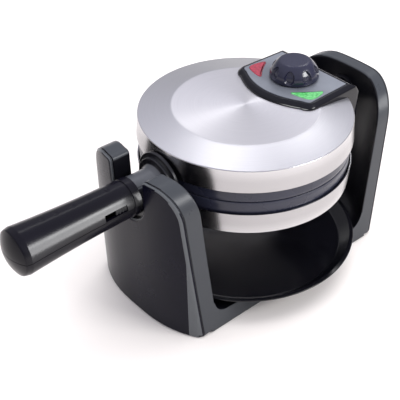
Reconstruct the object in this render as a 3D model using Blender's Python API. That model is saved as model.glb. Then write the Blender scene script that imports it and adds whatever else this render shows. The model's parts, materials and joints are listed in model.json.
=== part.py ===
# Rotating waffle maker: a round two-plate cooker that turns over on its own axis between two
# towers of a black base, with a lid hinged at the rear, a split handle at the front and a drip
# tray under it. Lengths are in metres. +Z is up, the user stands at -Y, +X is the user's right.

import math

import bmesh
import bpy
from mathutils import Vector

# Clearances that every fit shares
GAP = 0.0003
OVERRUN = 0.010

# Axis and the base that carries it
AXIS_HEIGHT = 0.1385
HALF_WIDTH = 0.0777
SIDE_DRAFT_SHARE = 0.095
SKIRT_BOTTOM = 0.0012
FLOOR_TOP = 0.019
FLOOR_FILLET = 0.015
FRAME_WALL = 0.0026
COVER_THICKNESS = 0.003

# Cooking unit: steel shells, black bands and cast plates, each mirrored about the parting plane
STEEL_RADIUS = 0.105
STEEL_FLARE = 0.0014
STEEL_WALL = 0.001
RIM_RISE = 0.0347
CROWN_RISE = 0.0407
CONE_WIDTH = 0.033
SKIRT_RISE = 0.0125
BAND_INSET = 0.0012
BAND_WALL = 0.0028
BAND_LEDGE = 0.009
BAND_LEDGE_THICKNESS = 0.0026
BAND_LIP_RISE = 0.020
BAND_LIP_STEP = 0.0008
PARTING_GAP = 0.0008
PLATE_THICKNESS = 0.013
PLATE_POCKET_DEPTH = 0.0095
PLATE_RIM = 0.0065
BOSS_PITCH = 0.017
BOSS_BASE = 0.0115
BOSS_TOP = 0.0085
BOSS_TIP_RISE = 0.0038
PLATE_FACE_RISE = 0.0012
ELEMENT_TUBE_RADIUS = 0.0033
ELEMENT_RING_RADIUS = 0.062

# Towers: apex, side drop and lean of each curved face, all measured from the unit's centre
FRONT_SPACE = 0.0138
FRONT_DEPTH = 0.0232
FRONT_INNER_DROP = 0.0185
FRONT_OUTER_DROP = 0.0203
FRONT_LEAN_SHARE = 0.029
FRONT_BULGE_SHARE = 2.75
FRONT_RISE = 0.0298
FRONT_CORNER_SHARE = 0.7747
FRONT_CORNER_HEIGHT = 0.0350
REAR_SPACE = 0.0265
REAR_DEPTH = 0.0178
REAR_INNER_DROP = 0.0312
REAR_OUTER_DROP = 0.0265
REAR_LEAN_SHARE = 0.100
REAR_BULGE_SHARE = 2.5
REAR_RISE = 0.0305
REAR_CORNER_WIDTH = 0.042
REAR_CORNER_HEIGHT = 0.043

# Front cradle, its liner and the trunnion that turns in it
JOURNAL_RADIUS = 0.0170
LINER_THICKNESS = 0.00435
LINER_FLANGE = 0.0022
LINER_FLANGE_THICKNESS = 0.0014
HORN_ROUND = 0.0046
FLANGE_RADIUS = 0.029
FLANGE_THICKNESS = 0.0032
RING_RADIUS = 0.0245
RING_THICKNESS = 0.0035
NECK_BORE = 0.011

# Handle halves and their latch
COLLAR_REACH = 0.0058
COLLAR_LENGTH = 0.008
COLLAR_GROOVE = 0.0009
GRIP_INNER_RADIUS = 0.0182
GRIP_OUTER_RADIUS = 0.0223
GRIP_SWELL_SHARE = 1.9
GRIP_LENGTH = 0.1295
GRIP_DOME = 0.0115
GRIP_WALL = 0.003
HALF_GAP = 0.0005
SLOT_START = 0.0168
SLOT_LENGTH = 0.0243
SLOT_HEIGHT = 0.0062
SLOT_RISE = 0.0009
LATCH_LENGTH = 0.0115
LATCH_DEPTH = 0.0092

# Rear hinge and the hollow rear shaft
HINGE_BEHIND_STEEL = 0.0125
HINGE_RISE = 0.0205
HINGE_PIN_RADIUS = 0.003
KNUCKLE_RADIUS = 0.0065
EAR_INNER = 0.0222
EAR_WIDTH = 0.0055
LUG_WIDTH = 0.0060
EAR_GAP = 0.0006
PIN_HEAD = 0.0018
BRACKET_FRONT = 0.0042
BRACKET_THICKNESS = 0.0045
BRACKET_DROP = 0.027
SHAFT_RADIUS = 0.009
SHAFT_BORE = 0.005
SHAFT_BOSS_RADIUS = 0.0125
SHAFT_BOSS_LENGTH = 0.011
BUSH_WALL = 0.0035
BUSH_FLANGE = 0.0025
BUSH_FLANGE_THICKNESS = 0.0015
BEARING_BOSS_WALL = 0.004
BEARING_FRONT = 0.003
BEARING_BACK = 0.0080
CLIP_THICKNESS = 0.0016
CLIP_WIDTH = 0.0040

# Control box on the lid, its panel, lamps and dial
BOX_HALF_WIDTH = 0.0505
BOX_FLARE = 0.0018
BOX_BACK_INSET = 0.0045
BOX_BACK_STEP = 0.0078
BOX_SHOULDER_RISE = 0.0355
BOX_LENGTH = 0.0815
BOX_FRONT_SAG = 0.0140
BOX_CORNER = 0.011
BOX_RISE = 0.0463
BOX_BEVEL = 0.0045
BOX_BEVEL_DROP = 0.0035
BOX_WALL = 0.0024
BOX_BOTTOM_RISE = 0.0034
PANEL_INSET = 0.0062
PANEL_THICKNESS = 0.0012
DIAL_SETBACK = 0.0345
DIAL_RADIUS = 0.0247
DIAL_HEIGHT = 0.0182
DIAL_SCALLOP_DEPTH = 0.0022
DIAL_SCALLOPS = 8
DIAL_SHAFT_RADIUS = 0.003
DIAL_SHAFT_HOLE = 0.0045
THERMOSTAT_RADIUS = 0.012
THERMOSTAT_HEIGHT = 0.0095
LENS_PROUD = 0.0014
LENS_DEPTH = 0.0034
BULB_RADIUS = 0.003
BULB_LENGTH = 0.0025

# Corners of a lamp's lens: shares of the panel's half width, and of the box's curved front
LENS_SHARES = (
    (0.467, 0.771), (0.627, 0.824), (0.844, 0.903), (0.980, 1.000), (1.009, 1.141),
    (0.992, 1.475), (0.940, 1.827), (0.901, 1.933), (0.861, 1.845), (0.752, 1.458),
    (0.627, 1.158), (0.490, 0.947), (0.450, 0.842),
)

# Drip tray
TRAY_OVERHANG = 0.0132
TRAY_HEIGHT = 0.0115
TRAY_WALL = 0.0016
TRAY_FLANK = 0.0135
TRAY_LIP = 0.0022

# Bottom plate, feet, screws, cord gland and terminal block
PLATE_BOTTOM = 0.0018
PLATE_SHEET = 0.0022
FOOT_RADIUS = 0.009
FOOT_STEM_RADIUS = 0.0045
FOOT_HEAD_RADIUS = 0.0062
FOOT_HEAD_THICKNESS = 0.0015
FOOT_SIDE_INSET = 0.0217
FOOT_INSET = 0.014
SCREW_RADIUS = 0.0016
SCREW_HEAD_RADIUS = 0.0032
SCREW_HEAD_THICKNESS = 0.0009
SCREW_LENGTH = 0.011
SCREW_SIDE_INSET = 0.0357
SCREW_INSET = 0.026
SCREW_BOSS_RADIUS = 0.0045
GLAND_RADIUS = 0.0065
GLAND_FLANGE_RADIUS = 0.0085
GLAND_BORE = 0.0036
GLAND_LENGTH = 0.014
GLAND_FLANGE_THICKNESS = 0.0018
GLAND_HEIGHT = 0.0160
TERMINAL_WIDTH = 0.030
TERMINAL_DEPTH = 0.012
TERMINAL_HEIGHT = 0.009

# Facets round a full turn
FINE = 48
MEDIUM = 28
COARSE = 16
ELEMENT_STEPS = 26

# Sizes that follow
CROWN_RADIUS = STEEL_RADIUS - CONE_WIDTH
FRONT_INNER = STEEL_RADIUS + FRONT_SPACE
FRONT_OUTER = FRONT_INNER + FRONT_DEPTH
REAR_INNER = STEEL_RADIUS + REAR_SPACE
REAR_OUTER = REAR_INNER + REAR_DEPTH
FRONT_TOP = AXIS_HEIGHT + FRONT_RISE
REAR_TOP = AXIS_HEIGHT + REAR_RISE
REAR_SHAPE = (REAR_TOP, REAR_CORNER_WIDTH, REAR_CORNER_HEIGHT)
LINER_INNER = JOURNAL_RADIUS + HALF_GAP / 2 + GAP
CRADLE_RADIUS = LINER_INNER + LINER_THICKNESS + GAP
HORN_START = CRADLE_RADIUS + GAP + HORN_ROUND
HORN_WIDTH = HALF_WIDTH - SIDE_DRAFT_SHARE * AXIS_HEIGHT - HORN_START
FRONT_SHAPE = (FRONT_TOP, FRONT_CORNER_SHARE * HORN_WIDTH, FRONT_CORNER_HEIGHT)
TRAY_RADIUS = STEEL_RADIUS + TRAY_OVERHANG
HINGE_Y = STEEL_RADIUS + HINGE_BEHIND_STEEL
BRACKET_Y = STEEL_RADIUS + BRACKET_FRONT
BAND_RADIUS = STEEL_RADIUS - BAND_INSET
PLATE_RADIUS = BAND_RADIUS - BAND_LEDGE - GAP
FOOT_X = HALF_WIDTH - FOOT_SIDE_INSET
SCREW_X = HALF_WIDTH - SCREW_SIDE_INSET
BOX_BACK = STEEL_RADIUS - BOX_BACK_INSET
BOX_FRONT = BOX_BACK - BOX_LENGTH
DIAL_Y = BOX_BACK - DIAL_SETBACK
PANEL_TOP = BOX_RISE + GAP
FRONT_FACE = FRONT_OUTER + FRONT_LEAN_SHARE * FRONT_TOP
GRIP_START = FRONT_FACE - COLLAR_REACH
GRIP_END = GRIP_START + GRIP_LENGTH
REAR_REACH = REAR_OUTER + REAR_LEAN_SHARE * REAR_TOP
CENTRE_SHIFT = (GRIP_END - REAR_REACH) / 2

FINISHES = {
    "black_plastic": ((0.012, 0.012, 0.014), 0.38, 0.0),
    "gloss_black": ((0.008, 0.008, 0.010), 0.10, 0.0),
    "band_plastic": ((0.035, 0.038, 0.050), 0.32, 0.0),
    "brushed_steel": ((0.62, 0.60, 0.59), 0.30, 1.0),
    "cast_plate": ((0.030, 0.030, 0.032), 0.45, 0.2),
    "grey_panel": ((0.105, 0.120, 0.125), 0.40, 0.3),
    "red_lens": ((0.55, 0.03, 0.08), 0.12, 0.0),
    "green_lens": ((0.08, 0.60, 0.12), 0.12, 0.0),
    "rubber": ((0.02, 0.02, 0.02), 0.80, 0.0),
    "plated_steel": ((0.55, 0.55, 0.56), 0.28, 1.0),
    "die_cast": ((0.30, 0.30, 0.31), 0.45, 0.8),
    "nylon": ((0.70, 0.68, 0.62), 0.45, 0.0),
    "lamp_glass": ((0.80, 0.55, 0.45), 0.10, 0.0),
}


def finish(name):
    """The material of this name, made the first time it is asked for."""
    if name in bpy.data.materials:
        return bpy.data.materials[name]
    colour, roughness, metallic = FINISHES[name]
    material = bpy.data.materials.new(name)
    material.use_nodes = True
    shader = material.node_tree.nodes["Principled BSDF"]
    shader.inputs["Base Color"].default_value = (*colour, 1.0)
    shader.inputs["Roughness"].default_value = roughness
    shader.inputs["Metallic"].default_value = metallic
    material.diffuse_color = (*colour, 1.0)
    return material


def add_empty(name, parent, place):
    """An empty at a place given from the unit's centre at table height."""
    empty = bpy.data.objects.new(name, None)
    bpy.context.scene.collection.objects.link(empty)
    home = Vector(place)
    empty["home"] = home
    if parent is None:
        empty.location = home
    else:
        empty.parent = parent
        empty.location = home - Vector(parent["home"])
    return empty


def add_mesh(name, shape, material, parent):
    """An object from (points, faces), whose points are given from the unit's centre."""
    points, faces = shape
    mesh = bpy.data.meshes.new(name)
    mesh.from_pydata(points, [], faces)
    solid = bmesh.new()
    solid.from_mesh(mesh)
    bmesh.ops.recalc_face_normals(solid, faces=solid.faces)
    solid.to_mesh(mesh)
    solid.free()
    mesh.shade_smooth()
    mesh.set_sharp_from_angle(angle=math.radians(30))
    piece = bpy.data.objects.new(name, mesh)
    bpy.context.scene.collection.objects.link(piece)
    piece.parent = parent
    piece.location = -Vector(parent["home"])
    if material:
        mesh.materials.append(finish(material))
    return piece


def add_cutter(name, shape, parent):
    """A helper solid that is never part of the object."""
    helper = add_mesh(name, shape, None, parent)
    helper.hide_render = True
    helper.display_type = "WIRE"
    return helper


def combine(piece, helper, operation):
    modifier = piece.modifiers.new(helper.name, "BOOLEAN")
    modifier.operation = operation
    modifier.solver = "EXACT"
    modifier.object = helper


def cut(piece, name, shape):
    combine(piece, add_cutter(name, shape, piece.parent), "DIFFERENCE")


def fuse(piece, name, shape):
    combine(piece, add_cutter(name, shape, piece.parent), "UNION")


def loft(sections):
    """A closed solid through rings of equal counts, with a flat face at each end."""
    count = len(sections[0])
    points = [point for section in sections for point in section]
    faces = []
    for row in range(len(sections) - 1):
        low, high = row * count, (row + 1) * count
        for i in range(count):
            j = (i + 1) % count
            faces.append((low + i, low + j, high + j, high + i))
    faces.append(tuple(range(count)))
    faces.append(tuple(range((len(sections) - 1) * count, len(sections) * count)))
    return points, faces


def along_x(outline, low, high):
    return loft([[(x, y, z) for y, z in outline] for x in (low, high)])


def along_y(outline, low, high):
    return loft([[(x, y, z) for x, z in outline] for y in (low, high)])


def along_z(outline, low, high):
    return loft([[(x, y, z) for x, y in outline] for z in (low, high)])


def box(low, high):
    corners = [(low[0], low[1]), (high[0], low[1]), (high[0], high[1]), (low[0], high[1])]
    return along_z(corners, low[2], high[2])


def turned(profile, steps, axis="Z", centre=(0, 0, 0), sweep=2 * math.pi, start=0):
    """A closed (radius, height) profile swept round Z or Y. A part sweep gets flat end faces."""
    whole = math.isclose(sweep, 2 * math.pi)
    rows = steps if whole else steps + 1
    points, index = [], {}

    def point_at(i, k):
        radius, height = profile[i]
        key = (i, 0 if radius == 0 else k % rows if whole else k)
        if key not in index:
            angle = start + sweep * key[1] / steps
            across, up = radius * math.cos(angle), radius * math.sin(angle)
            place = (across, up, height) if axis == "Z" else (across, height, up)
            index[key] = len(points)
            points.append(tuple(a + b for a, b in zip(place, centre)))
        return index[key]

    faces = []
    for k in range(steps):
        for i in range(len(profile)):
            j = (i + 1) % len(profile)
            corners = [point_at(i, k), point_at(j, k), point_at(j, k + 1), point_at(i, k + 1)]
            kept = [c for n, c in enumerate(corners) if c not in corners[:n]]
            if len(kept) > 2:
                faces.append(tuple(kept))
    if not whole:
        for k in (0, steps):
            faces.append(tuple(point_at(i, k) for i in range(len(profile))))
    return points, faces


def rod(radius, low, high, steps=COARSE, axis="Z", centre=(0, 0, 0)):
    return turned([(0, low), (radius, low), (radius, high), (0, high)], steps, axis, centre)


def tube(inner, outer, low, high, steps=COARSE, axis="Z", centre=(0, 0, 0)):
    profile = [(inner, low), (outer, low), (outer, high), (inner, high)]
    return turned(profile, steps, axis, centre)


def rod_x(radius, low, high, centre_y, centre_z, steps=COARSE):
    ring = arc_points(centre_y, centre_z, radius, 0, 2 * math.pi, steps)[:-1]
    return along_x(ring, low, high)


def arc_points(centre_a, centre_b, radius, start, end, steps):
    """Points of an arc in a plane, both ends included."""
    angles = [start + (end - start) * i / steps for i in range(steps + 1)]
    return [(centre_a + radius * math.cos(a), centre_b + radius * math.sin(a)) for a in angles]


def bulge(x, power_share):
    """How far a tower face has dropped back at x, from 0 in the middle to 1 at the side."""
    return (abs(x) / HALF_WIDTH) ** power_share


def front_outer(x, z):
    drop = FRONT_OUTER_DROP * bulge(x, FRONT_BULGE_SHARE)
    return -(FRONT_OUTER - drop + FRONT_LEAN_SHARE * z)


def front_inner(x, z):
    drop = FRONT_INNER_DROP * bulge(x, FRONT_BULGE_SHARE)
    return -(FRONT_INNER - drop + FRONT_LEAN_SHARE * z)


def rear_outer(x, z):
    return REAR_OUTER - REAR_OUTER_DROP * bulge(x, REAR_BULGE_SHARE) + REAR_LEAN_SHARE * z


def rear_inner(x, z):
    return REAR_INNER - REAR_INNER_DROP * bulge(x, REAR_BULGE_SHARE) + REAR_LEAN_SHARE * z


def corner_and_side(shape, inset, end_height):
    """The outer corner and drafted side of a tower, from its flat top down to end_height."""
    top, corner_width, corner_height = shape
    side = HALF_WIDTH - inset * math.hypot(1, SIDE_DRAFT_SHARE)
    width, height = corner_width - inset, corner_height - inset
    end_angle = math.atan(SIDE_DRAFT_SHARE * height / width)
    centre_z = top - inset - height
    end_z = centre_z + height * math.sin(end_angle)
    centre_x = side - SIDE_DRAFT_SHARE * end_z - width * math.cos(end_angle)
    outline = []
    for cos, sin in arc_points(0, 0, 1, math.pi / 2, end_angle, 9):
        outline.append((centre_x + width * cos, centre_z + height * sin))
    last_z = outline[-1][1]
    for share in (0.25, 0.5, 0.75, 0.9, 1.0):
        z = last_z + (end_height - last_z) * share
        outline.append((side - SIDE_DRAFT_SHARE * z, z))
    return outline


def cradle(top, inset):
    """The open-topped notch that the trunnion lies in, from its lowest point to a horn's top."""
    radius = CRADLE_RADIUS + inset
    outline = arc_points(0, AXIS_HEIGHT, radius, -math.pi / 2, -math.pi / 24, 7)
    round_radius = HORN_ROUND - inset
    centre_x, centre_z = radius + GAP + round_radius, top - inset - round_radius
    outline += arc_points(centre_x, centre_z, round_radius, math.pi, math.pi / 2, 5)
    return outline


def half_outline(shape, inset, end_height):
    """Half of a tower seen from the front, as (x, z) from the middle out to the side."""
    top = shape[0]
    side = corner_and_side(shape, inset, end_height)
    if shape == FRONT_SHAPE:
        return cradle(top, inset) + side
    flat = side[0][0]
    return [(flat * share, top - inset) for share in (0.0, 0.25, 0.5, 0.75)] + side


def tower_block(half, near, far, bottom):
    """A solid under a tower's outline, between two faces given as functions of x and z."""
    outline = [(-x, z) for x, z in reversed(half)] + half[1:]
    sections = []
    for x, top in outline:
        ring = [(x, near(x, bottom), bottom), (x, near(x, top), top)]
        ring += [(x, far(x, top), top), (x, far(x, bottom), bottom)]
        sections.append(ring)
    return loft(sections)


def moved_in(face, distance, direction):
    """The same face carried towards the middle of the machine, or past it where negative."""
    return lambda x, z: face(x, z) + direction * distance


def unit_space():
    """The room between the towers: curved walls that round over into the floor."""
    high = FRONT_TOP + OVERRUN
    levels = [FLOOR_TOP + FLOOR_FILLET * (1 - math.cos(math.radians(a))) for a in range(0, 91, 18)]
    levels.append(high)
    span = HALF_WIDTH + OVERRUN
    sections = []
    for step in range(-12, 13):
        x = span * step / 12
        front, rear = [], []
        for z in levels:
            below = max(FLOOR_TOP + FLOOR_FILLET - z, 0)
            inset = FLOOR_FILLET - math.sqrt(max(FLOOR_FILLET**2 - below**2, 0))
            front.append((x, front_inner(x, z) + inset, z))
            rear.append((x, rear_inner(x, z) - inset, z))
        sections.append(front[::-1] + rear)
    return loft(sections)


def screw_places():
    front_y = -(FRONT_INNER - SCREW_INSET)
    rear_y = REAR_INNER - REAR_INNER_DROP - SCREW_INSET / 2
    return [(side * SCREW_X, y) for y in (front_y, rear_y) for side in (-1, 1)]


def foot_places():
    front_y = -(FRONT_INNER - FOOT_INSET)
    rear_y = REAR_INNER - REAR_INNER_DROP + FOOT_INSET / 2
    return [(side * FOOT_X, y) for y in (front_y, rear_y) for side in (-1, 1)]


def build_base_frame(root):
    """One moulding: the front tower with its cradle, the floor and the rear tower."""
    end = SKIRT_BOTTOM + FRAME_WALL
    cover_step = COVER_THICKNESS + GAP
    front_half = half_outline(FRONT_SHAPE, 0, end)
    rear_half = half_outline(REAR_SHAPE, 0, end)
    middle = lambda x, z: FLOOR_FILLET
    behind = lambda x, z: -FLOOR_FILLET
    front = tower_block(front_half, moved_in(front_outer, cover_step, 1), middle, SKIRT_BOTTOM)
    rear = tower_block(rear_half, behind, moved_in(rear_outer, cover_step, -1), SKIRT_BOTTOM)
    frame = add_mesh("base_frame", front, "black_plastic", root)
    fuse(frame, "rear_block", rear)
    cut(frame, "space_for_unit", unit_space())
    hollow_base_frame(frame)
    top = FLOOR_TOP - FRAME_WALL / 2
    bottom = PLATE_BOTTOM + PLATE_SHEET + GAP
    for i, (x, y) in enumerate(screw_places()):
        fuse(frame, f"screw_boss_{i}", rod(SCREW_BOSS_RADIUS, bottom, top, centre=(x, y, 0)))
        hole = rod(SCREW_RADIUS + GAP, -OVERRUN, top - FRAME_WALL, centre=(x, y, 0))
        cut(frame, f"screw_hole_{i}", hole)
    add_rear_bearing(frame)


def hollow_base_frame(frame):
    """Opens the towers at their outer faces and the floor at its underside."""
    low = -OVERRUN
    end = SKIRT_BOTTOM
    front_half = half_outline(FRONT_SHAPE, FRAME_WALL, end)
    rear_half = half_outline(REAR_SHAPE, FRAME_WALL, end)
    beyond = moved_in(front_outer, OVERRUN, -1)
    front = tower_block(front_half, beyond, moved_in(front_inner, FRAME_WALL, -1), low)
    beyond = moved_in(rear_outer, OVERRUN, 1)
    rear = tower_block(rear_half, moved_in(rear_inner, FRAME_WALL, 1), beyond, low)
    cut(frame, "front_hollow", front)
    cut(frame, "rear_hollow", rear)
    side = HALF_WIDTH - SIDE_DRAFT_SHARE * FLOOR_TOP - FRAME_WALL
    high = FLOOR_TOP - FRAME_WALL
    front_y = -(FRONT_INNER + FRAME_WALL + GAP)
    rear_y = REAR_INNER + FRAME_WALL + REAR_LEAN_SHARE * FLOOR_TOP + GAP
    cut(frame, "floor_hollow", box((-side, front_y, low), (side, rear_y, high)))


def bearing_span():
    """Front and back of the rear bearing boss along the axis."""
    wall = rear_inner(0, AXIS_HEIGHT)
    return wall - BEARING_FRONT, wall + BEARING_BACK


def add_rear_bearing(frame):
    low, high = bearing_span()
    centre = (0, 0, AXIS_HEIGHT)
    hole = SHAFT_RADIUS + GAP + BUSH_WALL + GAP
    outer = hole + BEARING_BOSS_WALL
    fuse(frame, "bearing_boss", rod(outer, low, high, MEDIUM, "Y", centre))
    cut(frame, "bearing_hole", rod(hole, low - OVERRUN, high + OVERRUN, MEDIUM, "Y", centre))


def build_covers(root):
    """The two outer covers, each following its tower's bulging face."""
    end = SKIRT_BOTTOM + FRAME_WALL
    front_half = half_outline(FRONT_SHAPE, 0, end)
    front = tower_block(
        front_half, front_outer, moved_in(front_outer, COVER_THICKNESS, 1), SKIRT_BOTTOM
    )
    add_mesh("front_cover", front, "black_plastic", root)
    rear_half = half_outline(REAR_SHAPE, 0, end)
    rear = tower_block(
        rear_half, moved_in(rear_outer, COVER_THICKNESS, -1), rear_outer, SKIRT_BOTTOM
    )
    cover = add_mesh("rear_cover", rear, "black_plastic", root)
    back = rear_outer(0, GLAND_HEIGHT)
    hole = rod(
        GLAND_RADIUS + GAP, back - OVERRUN, back + OVERRUN, MEDIUM, "Y", (0, 0, GLAND_HEIGHT)
    )
    cut(cover, "gland_hole", hole)


def build_cord_gland(root):
    """The cord's inlet bush, with its flange outside the rear cover."""
    seat = rear_outer(0, GLAND_HEIGHT + GLAND_FLANGE_RADIUS) + GAP
    low = seat - GLAND_LENGTH
    profile = [(GLAND_BORE, low), (GLAND_RADIUS, low), (GLAND_RADIUS, seat)]
    profile += [(GLAND_FLANGE_RADIUS, seat)]
    profile += [(GLAND_FLANGE_RADIUS, seat + GLAND_FLANGE_THICKNESS)]
    profile += [(GLAND_BORE, seat + GLAND_FLANGE_THICKNESS)]
    shape = turned(profile, COARSE, "Y", (0, 0, GLAND_HEIGHT))
    add_mesh("cord_gland", shape, "rubber", root)


def build_bottom(root):
    """Bottom plate, four feet, four screws and the terminal block that stands on the plate."""
    low, high = PLATE_BOTTOM, PLATE_BOTTOM + PLATE_SHEET
    side = HALF_WIDTH - SIDE_DRAFT_SHARE * FLOOR_TOP - FRAME_WALL - GAP
    inset = COVER_THICKNESS + GAP + GAP
    sections = []
    for step in range(-7, 8):
        x = side * step / 7
        near, far = front_outer(x, low) + inset, rear_outer(x, low) - inset
        sections.append([(x, near, low), (x, near, high), (x, far, high), (x, far, low)])
    plate = add_mesh("bottom_plate", loft(sections), "black_plastic", root)
    for i, (x, y) in enumerate(foot_places()):
        hole = rod(FOOT_STEM_RADIUS + GAP, low - OVERRUN, high + OVERRUN, centre=(x, y, 0))
        cut(plate, f"foot_hole_{i}", hole)
        add_mesh(f"foot_{i + 1}", foot_shape(x, y), "rubber", root)
    for i, (x, y) in enumerate(screw_places()):
        hole = rod(SCREW_RADIUS + GAP, low - OVERRUN, high + OVERRUN, centre=(x, y, 0))
        cut(plate, f"plate_screw_hole_{i}", hole)
        add_mesh(f"base_screw_{i + 1}", screw_shape(x, y), "plated_steel", root)
    half_width, half_depth = TERMINAL_WIDTH / 2, TERMINAL_DEPTH / 2
    middle = REAR_INNER - REAR_INNER_DROP
    bottom = high + GAP
    corner_low = (-half_width, middle - half_depth, bottom)
    corner_high = (half_width, middle + half_depth, bottom + TERMINAL_HEIGHT)
    add_mesh("terminal_block", box(corner_low, corner_high), "nylon", root)


def foot_shape(x, y):
    pad_top = PLATE_BOTTOM - GAP
    head = PLATE_BOTTOM + PLATE_SHEET + GAP
    top = head + FOOT_HEAD_THICKNESS
    profile = [(0, 0), (FOOT_RADIUS - pad_top / 2, 0), (FOOT_RADIUS, pad_top)]
    profile += [(FOOT_STEM_RADIUS, pad_top), (FOOT_STEM_RADIUS, head)]
    profile += [(FOOT_HEAD_RADIUS, head), (FOOT_HEAD_RADIUS, top), (0, top)]
    return turned(profile, COARSE, centre=(x, y, 0))


def screw_shape(x, y):
    head = PLATE_BOTTOM - GAP
    low = head - SCREW_HEAD_THICKNESS
    profile = [(0, low), (SCREW_HEAD_RADIUS, low), (SCREW_HEAD_RADIUS, head)]
    profile += [(SCREW_RADIUS, head), (SCREW_RADIUS, head + SCREW_LENGTH)]
    profile += [(0, head + SCREW_LENGTH)]
    return turned(profile, COARSE, centre=(x, y, 0))


def build_cradle_liner(root):
    """The half bush in the cradle, with a lip against the inside of the tower."""
    inner, outer = LINER_INNER, LINER_INNER + LINER_THICKNESS
    lip = outer + LINER_FLANGE
    back = front_inner(0, AXIS_HEIGHT - lip) + FRONT_LEAN_SHARE * lip + GAP
    front = -(GRIP_START - GAP - GAP)
    profile = [(inner, front), (outer, front), (outer, back), (lip, back)]
    profile += [(lip, back + LINER_FLANGE_THICKNESS), (inner, back + LINER_FLANGE_THICKNESS)]
    shape = turned(profile, COARSE, "Y", (0, 0, AXIS_HEIGHT), math.pi, math.pi)
    add_mesh("cradle_liner", shape, "nylon", root)


def build_rear_bush(root):
    low, high = bearing_span()
    inner = SHAFT_RADIUS + GAP
    outer = inner + BUSH_WALL
    lip = outer + BUSH_FLANGE
    front = low - GAP - BUSH_FLANGE_THICKNESS
    profile = [(inner, front), (lip, front), (lip, front + BUSH_FLANGE_THICKNESS)]
    profile += [(outer, front + BUSH_FLANGE_THICKNESS), (outer, high), (inner, high)]
    shape = turned(profile, MEDIUM, "Y", (0, 0, AXIS_HEIGHT))
    add_mesh("rear_bush", shape, "nylon", root)


def build_drip_tray(seat):
    """A round dish that lies on the floor between the towers and lifts out."""
    base = FLOOR_TOP + GAP
    rim = base + TRAY_HEIGHT
    flat = TRAY_RADIUS - TRAY_FLANK
    edge = TRAY_RADIUS - TRAY_LIP
    profile = [(0, base), (flat, base), (edge, rim - TRAY_WALL)]
    profile += [(TRAY_RADIUS, rim - TRAY_WALL), (TRAY_RADIUS, rim), (edge - TRAY_WALL, rim)]
    profile += [(flat - TRAY_WALL / 2, base + TRAY_WALL), (0, base + TRAY_WALL)]
    add_mesh("drip_tray", turned(profile, FINE), "gloss_black", seat)


def on_side(side, rise):
    """A height above (+1) or below (-1) the parting plane."""
    return AXIS_HEIGHT + side * rise


def shell_profile(side, out=0):
    """Outside of a steel shell, from the middle of its crown to its skirt, grown by out."""
    round_share = 0.35
    rim_round = (STEEL_RADIUS - CROWN_RADIUS) * round_share / 4
    fall = (CROWN_RISE - RIM_RISE) * round_share / 4
    crown = on_side(side, CROWN_RISE + out)
    profile = [(0, crown), (CROWN_RADIUS, crown)]
    profile += [(STEEL_RADIUS - rim_round + out / 2, on_side(side, RIM_RISE + fall + out / 2))]
    profile += [(STEEL_RADIUS + out, on_side(side, RIM_RISE - rim_round / 2))]
    profile += [(STEEL_RADIUS + STEEL_FLARE + out, on_side(side, SKIRT_RISE))]
    return profile


def build_shell(name, side, parent):
    outside = shell_profile(side)
    inside = [(max(r - STEEL_WALL, 0), z - side * STEEL_WALL) for r, z in outside[:-1]]
    inside.append((outside[-1][0] - STEEL_WALL, outside[-1][1]))
    shape = turned(outside + inside[::-1], FINE)
    return add_mesh(name, shape, "brushed_steel", parent)


def build_band(name, side, parent):
    """The black band of one half, with the ledge that its plate drops into."""
    low = PARTING_GAP / 2
    inner = BAND_RADIUS - BAND_WALL
    lip = STEEL_RADIUS + STEEL_FLARE - STEEL_WALL - GAP - BAND_LIP_STEP
    ledge = BAND_RADIUS - BAND_LEDGE
    lip_outer = min(lip, BAND_RADIUS - BAND_LIP_STEP)
    top = SKIRT_RISE - GAP
    profile = [(ledge, low), (BAND_RADIUS, low), (BAND_RADIUS, top), (lip_outer, top)]
    profile += [(lip_outer, BAND_LIP_RISE), (inner, BAND_LIP_RISE)]
    profile += [(inner, low + BAND_LEDGE_THICKNESS), (ledge, low + BAND_LEDGE_THICKNESS)]
    shape = turned([(r, on_side(side, z)) for r, z in profile], FINE)
    add_mesh(name, shape, "band_plastic", parent)


def boss_places():
    """Centres of the grid bosses of a plate, on a square grid inside its round pocket."""
    reach = PLATE_RADIUS - PLATE_RIM - BOSS_BASE * 0.95
    half = int(PLATE_RADIUS / BOSS_PITCH) + 1
    places = []
    for i in range(-half, half):
        for j in range(-half, half):
            x, y = (i + 0.5) * BOSS_PITCH, (j + 0.5) * BOSS_PITCH
            if math.hypot(x, y) < reach:
                places.append((x, y))
    return places


def boss_shapes(side, tip, root):
    """All the bosses of one plate as one set of square frustums."""
    points, faces = [], []
    for x, y in boss_places():
        first = len(points)
        for half, rise in ((BOSS_TOP / 2, tip), (BOSS_BASE / 2, root)):
            z = on_side(side, rise)
            points += [(x - half, y - half, z), (x + half, y - half, z)]
            points += [(x + half, y + half, z), (x - half, y + half, z)]
        faces += [tuple(first + i for i in (0, 1, 2, 3)), tuple(first + i for i in (7, 6, 5, 4))]
        for i in range(4):
            j = (i + 1) % 4
            faces.append((first + i, first + 4 + i, first + 4 + j, first + j))
    return points, faces


def build_plate(name, side, parent):
    """A cast plate: a round pocket with a grid of bosses that face the other plate."""
    face = PLATE_FACE_RISE
    floor = face + PLATE_POCKET_DEPTH
    back = face + PLATE_THICKNESS
    pocket = PLATE_RADIUS - PLATE_RIM
    draft = PLATE_POCKET_DEPTH / 6
    profile = [(0, floor), (pocket - draft, floor), (pocket, face), (PLATE_RADIUS, face)]
    profile += [(PLATE_RADIUS, back), (0, back)]
    shape = turned([(r, on_side(side, z)) for r, z in profile], FINE)
    plate = add_mesh(name, shape, "cast_plate", parent)
    root = (floor + back) / 2
    fuse(plate, name + "_bosses", boss_shapes(side, BOSS_TIP_RISE, root))


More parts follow.
